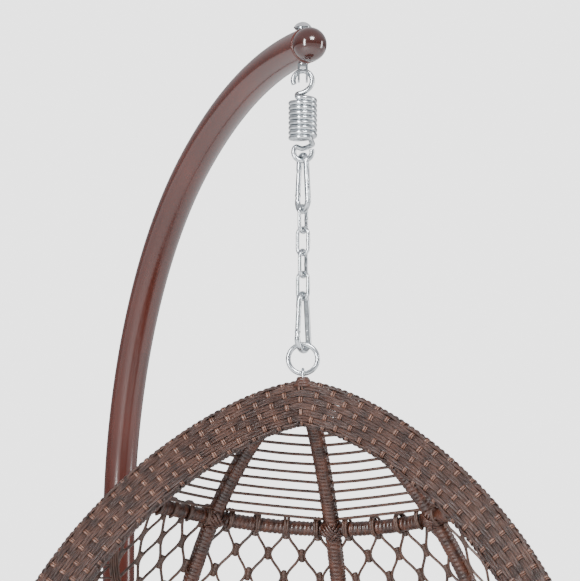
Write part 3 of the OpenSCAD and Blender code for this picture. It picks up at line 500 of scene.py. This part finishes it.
def stake_loop(mesh, stake):
    for offset, half_width in ((-1.4, 1.55), (1.6, 0.9)):
        at = (stake / stakes + offset / rim_length) % 1 * (len(rim) - 1)
        k, f = int(at), at - int(at)
        base = rim[k] * (1 - f) + rim[min(k + 1, len(rim) - 1)] * f
        x, y, nx, ny = on_section(lap)
        wave = -1.6 * np.cos(pi * (stake + np.floor(lap * rows))) * np.abs(np.sin(pi * lap * rows)) ** 0.25
        points = base + np.outer(x + nx * wave, rim_out[k]) + np.outer(y + ny * wave, rim_forward[k])
        out = np.outer(nx, rim_out[k]) + np.outer(ny, rim_forward[k])
        points[-1] = points[0]
        roll(mesh, placed(points), turned(out), flat_strip(half_width * MM, 0.6 * MM), 6 * rows, 6)

for part in range(3):
    mesh = new_mesh()
    for stake in range(part * stakes // 3, (part + 1) * stakes // 3):
        stake_loop(mesh, stake)
    finish_mesh(mesh, f"rim_stakes_{part + 1}", "basket", stake_brown)

# %% [markdown]
# Both edges of the band are bound with a twisted border, two strips laid round each other
# along the edge. It covers the ends of the stakes and gives the rim its bumpy outline.

# %% Twisted borders
mesh = new_mesh()
for edge, lay in ((band_w / 2 - 2.0, 1), (-band_w / 2 + 2.0, -1)):
    for strand in (0, pi):
        twist = tau * along * round(rim_length / 17) * lay + strand
        points = rim + rim_out * (edge + 2.0 * np.cos(twist))[:, None] + rim_forward * (2.6 * np.sin(twist))[:, None]
        points[-1] = points[0]
        roll(mesh, placed(points), turned(rim_out), flat_strip(2.1 * MM, 1.9 * MM, 0.9), 1400, 6)
finish_mesh(mesh, "rim_borders", "basket", edge_brown)

# %% [markdown]
# Behind the band runs a round tube that carries the net, and ribs and rings of the same
# tube make the cage of the back. All of it is wound with a strip, turn against turn, and
# the turns are never quite even, which is what makes it look hand made.

# %% Wound tubes
def wound_tube(mesh, path, out, radius, pitch=6.0, proud=1.5, seed=0, sides=14):
    run_mm = length(path)
    path = evenly(path, count=max(8, int(run_mm / 4)))
    out_even = evenly_out(out, len(path))
    steps = min(int(run_mm / 1.25), 2400)
    roll(mesh, placed(path), turned(out_even), wound(radius * MM, run_mm / pitch, proud * MM, seed), steps, sides)

def evenly_out(out, count):
    at = np.linspace(0, len(out) - 1, count)
    return np.stack([np.interp(at, np.arange(len(out)), out[:, k]) for k in range(3)], axis=1)

back_u, back_v, back_r = -19.0, -20.1, 10.0
back_hoop = rim + rim_out * back_u + rim_forward * back_v
mesh = new_mesh()
wound_tube(mesh, back_hoop, rim_out, back_r, seed=1, sides=12)
finish_mesh(mesh, "rim_back_winding", "basket", wound_brown, ["rim_back_wrap"])

# %% Ribs
rib_share, rib_r, ring_r = 0.63, 11.5, 10.5
rib_turns = [180 - np.degrees(np.arccos(rib_share)), 90.0, np.degrees(np.arccos(rib_share))]
rib_ends = [167.0, 175.0, 167.0]
for k, (name, q) in enumerate(zip(("rib_left", "rib_middle", "rib_right"), rib_turns)):
    p = np.linspace(15.5, rib_ends[k], 220)
    mesh = new_mesh()
    wound_tube(mesh, shell(p, q), -inward(p, q), rib_r, seed=2 + k)
    finish_mesh(mesh, name + "_winding", "basket", wound_brown, [name + "_wrap"])

# %% Rings
upper_drop, upper_fall = 163.0, 23.0

def upper_p(q): return angle_at(upper_drop + upper_fall * dsin(q) ** 3, q)
def waist_p(q): return 90.0 + 0 * q
def lower_p(q): return 122.0 + 0 * q

ring_names = (("upper_ring", upper_p), ("waist_ring", waist_p), ("lower_ring", lower_p))
for k, (name, drop) in enumerate(ring_names):
    ends = 27 / np.linalg.norm(shell(drop(1.0), 1.0) - shell(drop(0.0), 0.0))
    q = np.linspace(180 - ends, ends, 260)
    mesh = new_mesh()
    wound_tube(mesh, shell(drop(q), q), -inward(drop(q), q), ring_r, seed=10 + k)
    finish_mesh(mesh, name + "_winding", "basket", wound_brown, [name + "_wrap"])

# %% [markdown]
# Where a rib crosses a ring the two are lashed together with strips laid both ways over
# the crossing, like a parcel. Each turn is a flat strip in a loop round both tubes.

# %% Lashings at the crossings
def lashing(mesh, p, q, along_rib, along_ring, reach=14.2, turns_each=4):
    centre, normal = shell(p, q), inward(p, q)
    for sign in (1, -1):
        run_dir = unit(along_rib + sign * along_ring)
        side_dir = np.cross(normal, run_dir)
        for k in range(turns_each):
            offset = (k - (turns_each - 1) / 2) * 4.1
            a = np.linspace(0, tau, 41)
            stretch = reach + 1.5 + (0.9 if sign < 0 else 0)
            loop = centre + np.outer(np.cos(a), normal) * (reach + 0.4 * k % 2 + (0.8 if sign < 0 else 0)) \
                + np.outer(np.sin(a), run_dir) * stretch + side_dir * offset * (1 + 0.35 * np.abs(np.sin(a)))[:, None]
            out = np.outer(np.cos(a), normal) + np.outer(np.sin(a), run_dir)
            loop[-1] = loop[0]
            roll(mesh, placed(loop), turned(out), flat_strip(2.1 * MM, 0.8 * MM), 40, 6)

mesh = new_mesh()
for q in rib_turns:
    for name, drop in ring_names:
        p = float(drop(q))
        rib_dir = unit(shell(p + 1, q) - shell(p - 1, q))
        ring_dir = unit(shell(float(drop(q + 1)), q + 1) - shell(float(drop(q - 1)), q - 1))
        lashing(mesh, p, q, rib_dir, ring_dir)
finish_mesh(mesh, "lashings", "basket", wound_brown)

# %% [markdown]
# Above the upper ring the back is closed only by straight strands from upright to
# upright. They are round cord, drawn tight, and pass under the winding of the ribs.

# %% Strands across the crown
bays = [180.0, rib_turns[0], 90.0, rib_turns[2], 0.0]
mesh = new_mesh()
sag = np.random.default_rng(5)
for k in range(10):
    drop = upper_drop - 11 - 9 * 10.4 + k * 10.4
    for q0, q1 in zip(bays[:-1], bays[1:]):
        ends = []
        for q, other in ((q0, q1), (q1, q0)):
            ends.append(shell(angle_at(drop * (1 + upper_fall / upper_drop * dsin(q) ** 3), q), q))
        a, b = ends
        reach = unit(b - a)
        a = a + reach * (26 if q0 == 180 else 6)
        b = b - reach * (26 if q1 == 0 else 6)
        t = np.linspace(0, 1, 9)
        line = a + np.outer(t, b - a) + np.outer(np.sin(pi * t), [0, 0, -1]) * sag.uniform(0.2, 1.4)
        out = np.tile(inward(60, (q0 + q1) / 2), (9, 1))
        roll(mesh, placed(line), turned(out), round_wire(2.2 * MM), 16, 8)
finish_mesh(mesh, "crown_cords", "basket", net_brown, ["crown_strands"])

# %% [markdown]
# Below the upper ring hangs the net. It is knotted from pairs of strands: two run
# together through a short wound sleeve, part, and each joins its neighbour in the next
# sleeve, which makes six-sided meshes. At the rings the strands loop over the tube.

# %% Net strands
bay_columns = [6, 4, 4, 6]
edges = []
for b, count in enumerate(bay_columns):
    edges += list(np.linspace(bays[b], bays[b + 1], count, endpoint=False))
edges = np.array(edges + [0.0])
columns = len(edges) - 1
upper_rows, lower_rows = 12, 8
net_rows = upper_rows + lower_rows

def column_q(x):
    """The angle round of a place counted in columns."""
    return np.interp(x, np.arange(columns + 1), edges)

def row_p(y, q):
    """The angle down of a place counted in rows, from the upper ring to the lower."""
    top = upper_p(q)
    return np.where(y <= upper_rows, top + (90 - top) * y / upper_rows,
                    90 + (122 - 90) * (y - upper_rows) / lower_rows)

def ring_lift(y):
    """How far out the net passes where it crosses a ring."""
    near = [np.exp(-((y - at) / 0.28) ** 2) for at in (0, upper_rows, net_rows)]
    return (ring_r + 2.0) * np.max(near, axis=0)

def on_net(x, y, lift=0.0):
    q = column_q(x)
    q = 90 + (q - 90) * (1 - 0.026)
    p = row_p(y, q)
    return shell(p, q) - inward(p, q) * (ring_lift(y) + lift)[..., None]

strand_r = 2.1
mesh = new_mesh()
for column in range(columns):
    for way in (-1, 1):
        spots = []
        for row in range(net_rows):
            shift = 0.5 + (way * 0.5 if row % 2 else 0.0)
            toward = (-way if row % 2 else way) * 0.055
            x = column + shift
            spots += [(x + toward, row + 0.06), (x + toward, row + 0.30), (x + toward, row + 0.52)]
        spots = np.array(spots)
        spots[:, 0] = np.clip(spots[:, 0], 0.06, columns - 0.06)
        smooth_y = np.linspace(spots[0, 1], spots[-1, 1] + 0.4, net_rows * 7)
        x = np.interp(smooth_y, spots[:, 1], spots[:, 0])
        x = np.convolve(np.pad(x, 2, mode="edge"), np.ones(5) / 5, mode="valid")
        line = on_net(x, smooth_y)
        q = column_q(x)
        roll(mesh, placed(line), turned(-inward(row_p(smooth_y, q), q)), round_wire(strand_r * MM), net_rows * 7, 6)
finish_mesh(mesh, "net_cords", "basket", net_brown,
            ["net_left_side", "net_left_back", "net_right_back", "net_right_side"])

# %% Net sleeves
mesh = new_mesh()
for row in range(net_rows):
    for column in range(columns + (row % 2)):
        x = column + (0.0 if row % 2 else 0.5)
        x = min(max(x, 0.12), columns - 0.12)
        y = np.linspace(row + 0.02, row + 0.54, 9)
        line = on_net(np.full(9, x), y)
        q = column_q(x)
        wide_r = 3.9 if row else 4.3
        roll(mesh, placed(line), turned(-inward(row_p(y, q), np.full(9, q))),
             wound(wide_r * MM, 4, 0.55 * MM, seed=row), 16, 8)
finish_mesh(mesh, "net_sleeves", "basket", net_brown)

# %% Loops of the net over the upper ring
mesh = new_mesh()
for column in range(columns):
    for way in (-1, 1):
        x = column + 0.5 + way * 0.055
        q = 90 + (column_q(x) - 90) * 0.974
        p = float(upper_p(q))
        down = unit(shell(p + 1, q) - shell(p - 1, q))
        normal = inward(p, q)
        a = np.linspace(-0.35 * pi, 1.25 * pi, 22)
        ring_across = unit(shell(float(upper_p(q + 1)), q + 1) - shell(float(upper_p(q - 1)), q - 1))
        high_up = ring_r + 1.6 + 4.5 * np.clip(np.sin(a), 0, 1)[:, None] ** 3
        loop = shell(p, q) + np.outer(np.cos(a), -normal) * high_up - np.outer(np.sin(a), down) * high_up \
            + np.outer(np.linspace(-1, 1, 22) * way * 1.5, ring_across)
        out = np.outer(np.cos(a), -normal) - np.outer(np.sin(a), down)
        roll(mesh, placed(loop), turned(out), round_wire(strand_r * MM), 22, 6)
finish_mesh(mesh, "net_loops", "basket", net_brown)

# %% [markdown]
# Inside each side of the opening a curled band of cords decorates the net, with short
# spokes that tie it to the rim. The cords lie side by side and follow one curve.

# %% Side scrolls
for side, name in ((-1, "side_scroll_left"), (1, "side_scroll_right")):
    mesh = new_mesh()
    t = np.linspace(0, 1, 81)
    q = 16 + 22 * np.sin(pi * t)
    q = q if side > 0 else 180 - q
    p = 49 + 36 * t
    centre, normal = shell(p, q), inward(p, q)
    tangent = unit(np.gradient(centre, axis=0))
    across = np.cross(normal, tangent)
    for lane in range(4):
        line = centre + normal * 7.0 + across * ((lane - 1.5) * 4.0)
        roll(mesh, placed(line), turned(normal), round_wire(1.9 * MM), 120, 8)
    for k in range(6, 78, 5):
        inner = centre[k] + normal[k] * 5.5
        q_out = 6.0 if side > 0 else 174.0
        outer = shell(p[k], q_out) + inward(p[k], q_out) * 4
        line = inner + np.outer(np.linspace(0, 1, 6), outer - inner)
        roll(mesh, placed(line), turned(np.tile(normal[k], (6, 1))), round_wire(1.5 * MM), 8, 6)
    finish_mesh(mesh, name + "_cords", "basket", net_brown, [name])

# %% [markdown]
# The seat is a close woven bowl laid over the ribs. Weavers run from side to side, over
# and under stakes that run from back to front, and they get narrower towards the sides,
# where the rows draw together.

# %% Seat weave
seat_from, seat_to, seat_rows, seat_stakes = 123.0, 173.0, 74, 22

def seat_ends(p):
    rate = np.linalg.norm(shell(p, 90.5) - shell(p, 89.5))
    edge = min(30 / rate, 60.0)
    return 180 - edge, edge

def seat_point(p, q, lift):
    return shell(p, q) + inward(p, q) * (13.2 + lift)[..., None]

mesh = new_mesh()
for row in range(seat_rows + 1):
    p = seat_from + (seat_to - seat_from) * row / seat_rows
    q0, q1 = seat_ends(p)
    t = np.linspace(0, 1, 89)
    q = q0 + (q1 - q0) * t
    lift = 1.3 * np.cos(pi * (t * seat_stakes + row))
    gap = np.linalg.norm(shell(p + 0.3, q) - shell(p - 0.3, q), axis=1) / 0.6 * (seat_to - seat_from) / seat_rows
    roll(mesh, placed(seat_point(np.full_like(q, p), q, lift)), turned(inward(np.full_like(q, p), q)),
         flat_strip(gap * 0.46 * MM, 0.95 * MM), 110, 6)
finish_mesh(mesh, "seat_weavers", "basket", strip_brown, ["seat_weave"])

# %% Seat stakes
mesh = new_mesh()
for stake in range(seat_stakes + 1):
    p = np.linspace(seat_from, seat_to, 3 * seat_rows + 1)
    q = np.array([seat_ends(v)[0] + (seat_ends(v)[1] - seat_ends(v)[0]) * stake / seat_stakes for v in p])
    row = (p - seat_from) / (seat_to - seat_from) * seat_rows
    lift = -1.3 * np.cos(pi * (stake + row))
    roll(mesh, placed(seat_point(p, q, lift)), turned(inward(p, q)), flat_strip(2.2 * MM, 0.7 * MM), 3 * seat_rows, 4)
finish_mesh(mesh, "seat_stakes", "basket", stake_brown)

# %% [markdown]
# The hub at the top is wound like the ribs. The hooks, links and eye are round wire bent
# to shape, so each is one smooth sweep, and each stands in for its faceted model node.

# %% Wires of the suspension
def level(turn):
    """Directions across and out of a plane that is turned about the hanging line."""
    a = radians(turn)
    return np.array([cos(a), sin(a), 0]), np.array([-sin(a), cos(a), 0])

def on_line(points, turn, z):
    """Flat points, across and up, set in a turned plane at a height."""
    across, normal = level(turn)
    points = np.asarray(points, float)
    deep = points[:, 2:3] if points.shape[1] > 2 else np.zeros((len(points), 1))
    return (np.array([0, hang_y, z]) + points[:, :1] * across + np.outer(points[:, 1], [0, 0, 1]) + deep * normal) * MM

def bow(points, count=None, step=1.2):
    """A smooth curve through a few corners."""
    points = np.asarray(points, float)
    n = len(points)
    fine = []
    padded = np.vstack([2 * points[0] - points[1], points, 2 * points[-1] - points[-2]])
    for i in range(n - 1):
        a, b, c, d = padded[i:i + 4]
        for t in np.linspace(0, 1, 12, endpoint=False):
            fine.append(0.5 * (2 * b + (c - a) * t + (2 * a - 5 * b + 4 * c - d) * t * t + (3 * b - a - 3 * c + d) * t ** 3))
    fine.append(points[-1])
    return evenly(np.array(fine), step=step, count=count)

def arc(r, start, end, cx=0.0, cy=0.0, n=24):
    a = np.radians(np.linspace(start, end, n))
    return np.stack([cx + r * np.cos(a), cy + r * np.sin(a)], axis=1)

hook_turn = -23.0
link_turns = (34.0, -56.0, 37.0, -58.0)
for k, turn in enumerate(link_turns, start=1):
    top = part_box(f"chain_link_{k}")[1][2] / MM - 2.5
    r, straight = 8.5, 36.3 - 17.0
    loop = np.vstack([arc(r, 0, 180, 0, -r), arc(r, 180, 360, 0, -r - straight)])
    loop = evenly(np.vstack([loop, loop[:1]]), count=121)
    bead = np.hypot(loop[:, 0] - r, loop[:, 1] + r + straight / 2)
    swell = 2.5 + 0.35 * np.exp(-(bead / 2.2) ** 2)
    path = on_line(loop, turn, top)
    out = np.tile(level(turn)[1], (len(path), 1))
    mesh = new_mesh()
    share = np.linspace(0, 1, len(swell))
    roll(mesh, path, out, lambda u, v: (np.interp(u, share, swell) * MM * np.cos(tau * v),
                                        np.interp(u, share, swell) * MM * np.sin(tau * v)), 120, 14)
    finish_mesh(mesh, f"link_{k}_wire", f"link_{k}", zinc, [f"chain_link_{k}"])

# %% Snap hooks
nose_r, tail_r, snap_len, snap_wire = 10.5, 16.0, 85.0, 8.0
snap_span = snap_len - snap_wire - nose_r - tail_r
snap_slope = np.arcsin((tail_r - nose_r) / snap_span)
gate_top, gate_foot = -nose_r - 12.5, -nose_r - snap_span + 7.5

def snap_x(z):
    return -nose_r - (-nose_r - z) * np.tan(snap_slope)

for name, turn in (("upper", hook_turn - 64), ("lower", hook_turn + 62)):
    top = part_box(name + "_snap_hook")[1][2] / MM - snap_wire / 2
    path = np.vstack([[[snap_x(gate_top), gate_top], [snap_x(-14.5), -14.5]], arc(nose_r, 174, -6, 0, -nose_r, 20),
                      arc(tail_r, -8, -196, 0, -nose_r - snap_span, 30), [[snap_x(gate_foot + 1), gate_foot + 1]]])
    path = bow(path, count=181)
    wire = on_line(path, turn, top)
    mesh = new_mesh()
    roll(mesh, wire, np.tile(level(turn)[1], (len(wire), 1)),
         lambda u, v: (np.interp(u, [0, 0.03, 0.5, 0.93, 1], [2.9, 4.0, 4.0, 4.0, 2.6]) * MM * np.cos(tau * v),
                       np.interp(u, [0, 0.03, 0.5, 0.93, 1], [3.3, 4.0, 4.0, 4.0, 3.5]) * MM * np.sin(tau * v)), 200, 18)
    finish_mesh(mesh, name + "_snap_wire", name + "_snap", zinc, [name + "_snap_hook"])

# %% Eye and hub
eye_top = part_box("basket_eye")[1][2] / MM - 2
leg = 2 + 3.25 + 1
staple = np.vstack([[[leg, basket_top - 3 - eye_top]], arc(leg, 0, 180, 0, -leg, 20), [[-leg, basket_top - 3 - eye_top]]])
mesh = new_mesh()
path = on_line(evenly(staple, count=61), hook_turn + 90, eye_top)
roll(mesh, path, np.tile(level(hook_turn + 90)[1], (len(path), 1)), round_wire(2 * MM), 60, 12)
finish_mesh(mesh, "eye_wire", "basket", zinc, ["basket_eye"])

low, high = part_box("apex_hub")
mesh = new_mesh()
stem = np.stack([np.zeros(20), np.full(20, hang_y), np.linspace(low[2] / MM - 4, high[2] / MM + 1.5, 20)], axis=1) * MM
roll(mesh, stem, np.tile([1.0, 0, 0], (20, 1)),
     lambda u, v: tuple(w * np.interp(u, [0, 0.5, 0.85, 1], [1.75, 1.3, 1.05, 0.9]) for w in wound(8.4 * MM, 3.2, 0.9 * MM, 3)(u, v)), 60, 24)
finish_mesh(mesh, "hub_winding", "basket", wound_brown, ["apex_hub"])

# %% [markdown]
# The spring is one length of wire: a hook that goes through the clevis, close turns, and
# a second hook below. It rides on no body, and its place is baked into the mesh.

# %% Spring
spring_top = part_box("spring_coils")[1][2] / MM
spring_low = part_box("spring_lower_hook")[0][2] / MM
hook_r, low_r, wire_d, coil_r, coils = 13.0, 12.4, 7.0, 16.25, 8.5
top_c = spring_top - wire_d / 2 - hook_r
low_c = spring_low + wire_d / 2 + low_r
coil_top = top_c - 21.5
coil_low = coil_top - 9 * 7.2
a = pi + tau * coils * np.linspace(0, 1, 290)
coil = np.stack([coil_r * np.cos(a), coil_top - 3.5 - (coil_top - coil_low - 7.0) * np.linspace(0, 1, 290),
                 coil_r * np.sin(a)], axis=1)
upper = np.array([[hook_r * cos(radians(d)), top_c + hook_r * sin(radians(d)), 0] for d in range(205, -21, -15)]
                 + [[9.5, top_c - 10, 0], [1.5, coil_top + 4.9, -1.5], [-8, coil_top + 1.4, -4.0]])
lower = np.array([[13.5, coil_low - 1.2, 6.5], [6, coil_low - 5.2, 6.0], [-2, coil_low - 7.6, 2.6], [-9.5, low_c + 7.5, 0.5]]
                 + [[low_r * cos(radians(d)), low_c + low_r * sin(radians(d)), 0] for d in range(165, 386, 15)])
wire = np.vstack([bow(upper, step=1.5), coil[6:-5], bow(lower, step=1.5)])
wire = bow(evenly(wire, count=240), count=620)
path = on_line(wire, hook_turn, 0)
mesh = new_mesh()
tangent = unit(np.gradient(path, axis=0))
carried = [unit(np.cross(tangent[0], [0.3, 0.9, 0.1]))]
for t in tangent[1:]:
    carried.append(unit(carried[-1] - t * np.dot(carried[-1], t)))
roll(mesh, path, np.array(carried), round_wire(wire_d / 2 * MM), 900, 14)
spring = finish_mesh(mesh, "spring_wire", None, zinc, ["spring_coils", "spring_lower_hook"])
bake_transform(spring)

# %% [markdown]
# A plain pale floor and backdrop, a tall soft light on the left that draws one clean
# highlight down the tube, a wide soft light above and in front, and a weaker one on the right.

# %% Floor and light
def plane(name, size, material, z=0.0):
    mesh = bmesh.new()
    bmesh.ops.create_grid(mesh, x_segments=1, y_segments=1, size=size / 2)
    data = bpy.data.meshes.new(name)
    mesh.to_mesh(data)
    mesh.free()
    piece = bpy.data.objects.new(name, data)
    piece.location.z = z
    data.materials.append(material)
    bpy.context.scene.collection.objects.link(piece)
    return piece

paper, nodes, links, skin = shader("pale_floor")
where, noise, ramp = drift(nodes, links, 1.2, (0.70, 0.70, 0.70), (0.73, 0.73, 0.73))
links.new(ramp.outputs["Color"], skin.inputs["Base Color"])
skin.inputs["Roughness"].default_value = 0.9
skin.inputs["Emission Color"].default_value = (0.9, 0.9, 0.9, 1)
skin.inputs["Emission Strength"].default_value = 0.7
floor = plane("floor", 160, paper, -0.0005)

world = bpy.data.worlds.new("pale_room")
bpy.context.scene.world = world
world.use_nodes = True
nodes, links = world.node_tree.nodes, world.node_tree.links
paper_light = nodes["Background"]
paper_light.inputs["Color"].default_value = (1, 1, 1, 1)
paper_light.inputs["Strength"].default_value = 2.9
room = nodes.new("ShaderNodeBackground")
facing = nodes.new("ShaderNodeTexCoord")
split = nodes.new("ShaderNodeSeparateXYZ")
walls = nodes.new("ShaderNodeValToRGB")
stops = walls.color_ramp.elements
stops[0].position, stops[0].color = 0.42, (0.05, 0.05, 0.05, 1)
stops[1].position, stops[1].color = 0.80, (0.95, 0.96, 1.0, 1)
lift = nodes.new("ShaderNodeMath")
lift.operation = "MULTIPLY_ADD"
lift.inputs[1].default_value = lift.inputs[2].default_value = 0.5
links.new(facing.outputs["Generated"], split.inputs["Vector"])
links.new(split.outputs["Z"], lift.inputs[0])
links.new(lift.outputs[0], walls.inputs["Fac"])
links.new(walls.outputs["Color"], room.inputs["Color"])
room.inputs["Strength"].default_value = 0.85
seen = nodes.new("ShaderNodeLightPath")
choose = nodes.new("ShaderNodeMixShader")
links.new(seen.outputs["Is Camera Ray"], choose.inputs["Fac"])
links.new(room.outputs["Background"], choose.inputs[1])
links.new(paper_light.outputs["Background"], choose.inputs[2])
links.new(choose.outputs["Shader"], nodes["World Output"].inputs["Surface"])

def softbox(name, at, aim, wide_m, tall_m, watts):
    data = bpy.data.lights.new(name, "AREA")
    data.shape = "RECTANGLE"
    data.size, data.size_y, data.energy = wide_m, tall_m, watts
    lamp = bpy.data.objects.new(name, data)
    lamp.location = at
    lamp.rotation_euler = (Vector(aim) - Vector(at)).to_track_quat("-Z", "Y").to_euler()
    bpy.context.scene.collection.objects.link(lamp)
    return lamp

softbox("left_strip", (-3.2, -2.2, 2.2), (0, 0, 1.5), 0.45, 2.6, 210)
softbox("front_top", (-0.2, -3.4, 3.9), (0, 0, 1.4), 1.4, 1.0, 170)
softbox("right_fill", (3.2, -1.4, 1.8), (0, 0, 1.2), 0.6, 2.0, 50)

# %% Camera
eye = bpy.data.cameras.new("camera")
eye.lens, eye.sensor_width = 231.6, 36.0
eye.clip_end = 100.0
camera = bpy.data.objects.new("camera", eye)
heading = radians(-22.9)
ahead, right = Vector((-sin(heading), cos(heading), 0)), Vector((cos(heading), sin(heading), 0))
stand_at = Vector((0, hang_y * MM, 0)) - ahead * 5.0 - right * 0.0174
camera.location = (stand_at.x, stand_at.y, 0.900)
camera.rotation_euler = (radians(98), 0, heading)
bpy.context.scene.collection.objects.link(camera)
bpy.context.scene.camera = camera
print("camera at", [round(v, 3) for v in camera.location])
